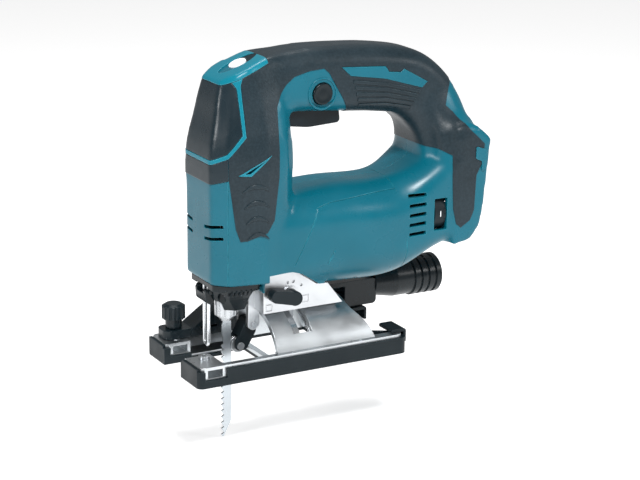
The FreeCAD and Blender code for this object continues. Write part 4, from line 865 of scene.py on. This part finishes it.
# ---- Stage ----
class JIGSAW_OT_stage(bpy.types.Operator):
    """Sets the pale floor, the soft lights and the camera"""
    bl_idname = "jigsaw.stage"
    bl_label = "Stage"

    def execute(self, context):
        scene = context.scene
        bm = bmesh.new()
        bmesh.ops.create_grid(bm, x_segments=1, y_segments=1, size=4.0)
        bmesh.ops.translate(bm, verts=bm.verts, vec=(0, 0, CAD_BOX[0].z - 0.0006))
        floor = new_object("floor", bm)
        pale = bpy.data.materials.new("pale_floor")
        pale.use_nodes = True
        shader = pale.node_tree.nodes["Principled BSDF"]
        shader.inputs["Base Color"].default_value = (0.86, 0.86, 0.86, 1)
        shader.inputs["Emission Color"].default_value = (1, 1, 1, 1)
        shader.inputs["Emission Strength"].default_value = 0.55
        shader.inputs["Roughness"].default_value = 0.7
        floor.data.materials.append(pale)
        world = bpy.data.worlds.new("studio")
        scene.world = world
        world.use_nodes = True
        background = world.node_tree.nodes["Background"]
        background.inputs["Color"].default_value = (1, 1, 1, 1)
        background.inputs["Strength"].default_value = 0.32
        scene.view_settings.view_transform = "Standard"
        middle = Vector((-0.030, 0.0, 0.071))
        for name, spot, power, size in (
                ("key", (0.15, 0.70, 0.95), 13.0, 0.3), ("front", (1.05, 0.25, 0.45), 3.5, 0.3),
                ("rear", (-0.8, 0.7, 0.5), 2.5, 0.3), ("over", (-0.1, -0.35, 1.1), 5.0, 0.5)):
            light = bpy.data.lights.new(name, "AREA")
            light.shape = "RECTANGLE"
            light.size, light.size_y = size, size * 0.6
            light.energy = power
            lamp = bpy.data.objects.new(name, light)
            lamp.location = Vector(spot)
            lamp.rotation_euler = (middle - lamp.location).to_track_quat("-Z", "Y").to_euler()
            scene.collection.objects.link(lamp)
        camera = bpy.data.objects.new("camera", bpy.data.cameras.new("camera"))
        scene.collection.objects.link(camera)
        turn, rise, roll, distance = radians(29.4), radians(16.35), radians(0.7), 1.2
        back = Vector((sin(turn) * cos(rise), cos(turn) * cos(rise), sin(rise)))
        camera.location = middle + back * distance
        look = (-back).to_track_quat("-Z", "Y").to_matrix() @ Matrix.Rotation(roll, 3, "Z")
        camera.rotation_euler = look.to_euler()
        camera.data.sensor_width = 36.0
        camera.data.lens = 106.03
        scene.camera = camera
        return {"FINISHED"}


# ---- Panel and run ----
STEPS = ["jigsaw.finishes", "jigsaw.shells", "jigsaw.grip_details", "jigsaw.controls", "jigsaw.stage"]


class JIGSAW_PT_panel(bpy.types.Panel):
    """Settings and building steps of the jigsaw"""
    bl_idname = "JIGSAW_PT_panel"
    bl_label = "Jigsaw"
    bl_space_type = "VIEW_3D"
    bl_region_type = "UI"
    bl_category = "Jigsaw"

    def draw(self, context):
        for group in (context.scene.jigsaw_sizes, context.scene.jigsaw_colours):
            for name in group.__annotations__:
                self.layout.prop(group, name)
        for step in STEPS:
            self.layout.operator(step)


CLASSES = [JigsawSizes, JigsawColours, JIGSAW_OT_finishes, JIGSAW_OT_shells, JIGSAW_OT_grip_details,
           JIGSAW_OT_controls, JIGSAW_OT_stage, JIGSAW_PT_panel]


def register():
    for cls in CLASSES:
        bpy.utils.register_class(cls)
    bpy.types.Scene.jigsaw_sizes = bpy.props.PointerProperty(type=JigsawSizes)
    bpy.types.Scene.jigsaw_colours = bpy.props.PointerProperty(type=JigsawColours)


def unregister():
    del bpy.types.Scene.jigsaw_colours
    del bpy.types.Scene.jigsaw_sizes
    for cls in reversed(CLASSES):
        bpy.utils.unregister_class(cls)


def main():
    register()
    for step in STEPS:
        group, name = step.split(".")
        getattr(getattr(bpy.ops, group), name)()
    if "body" in SHARED:
        drop(SHARED.pop("body"))


if __name__ == "__main__":
    main()
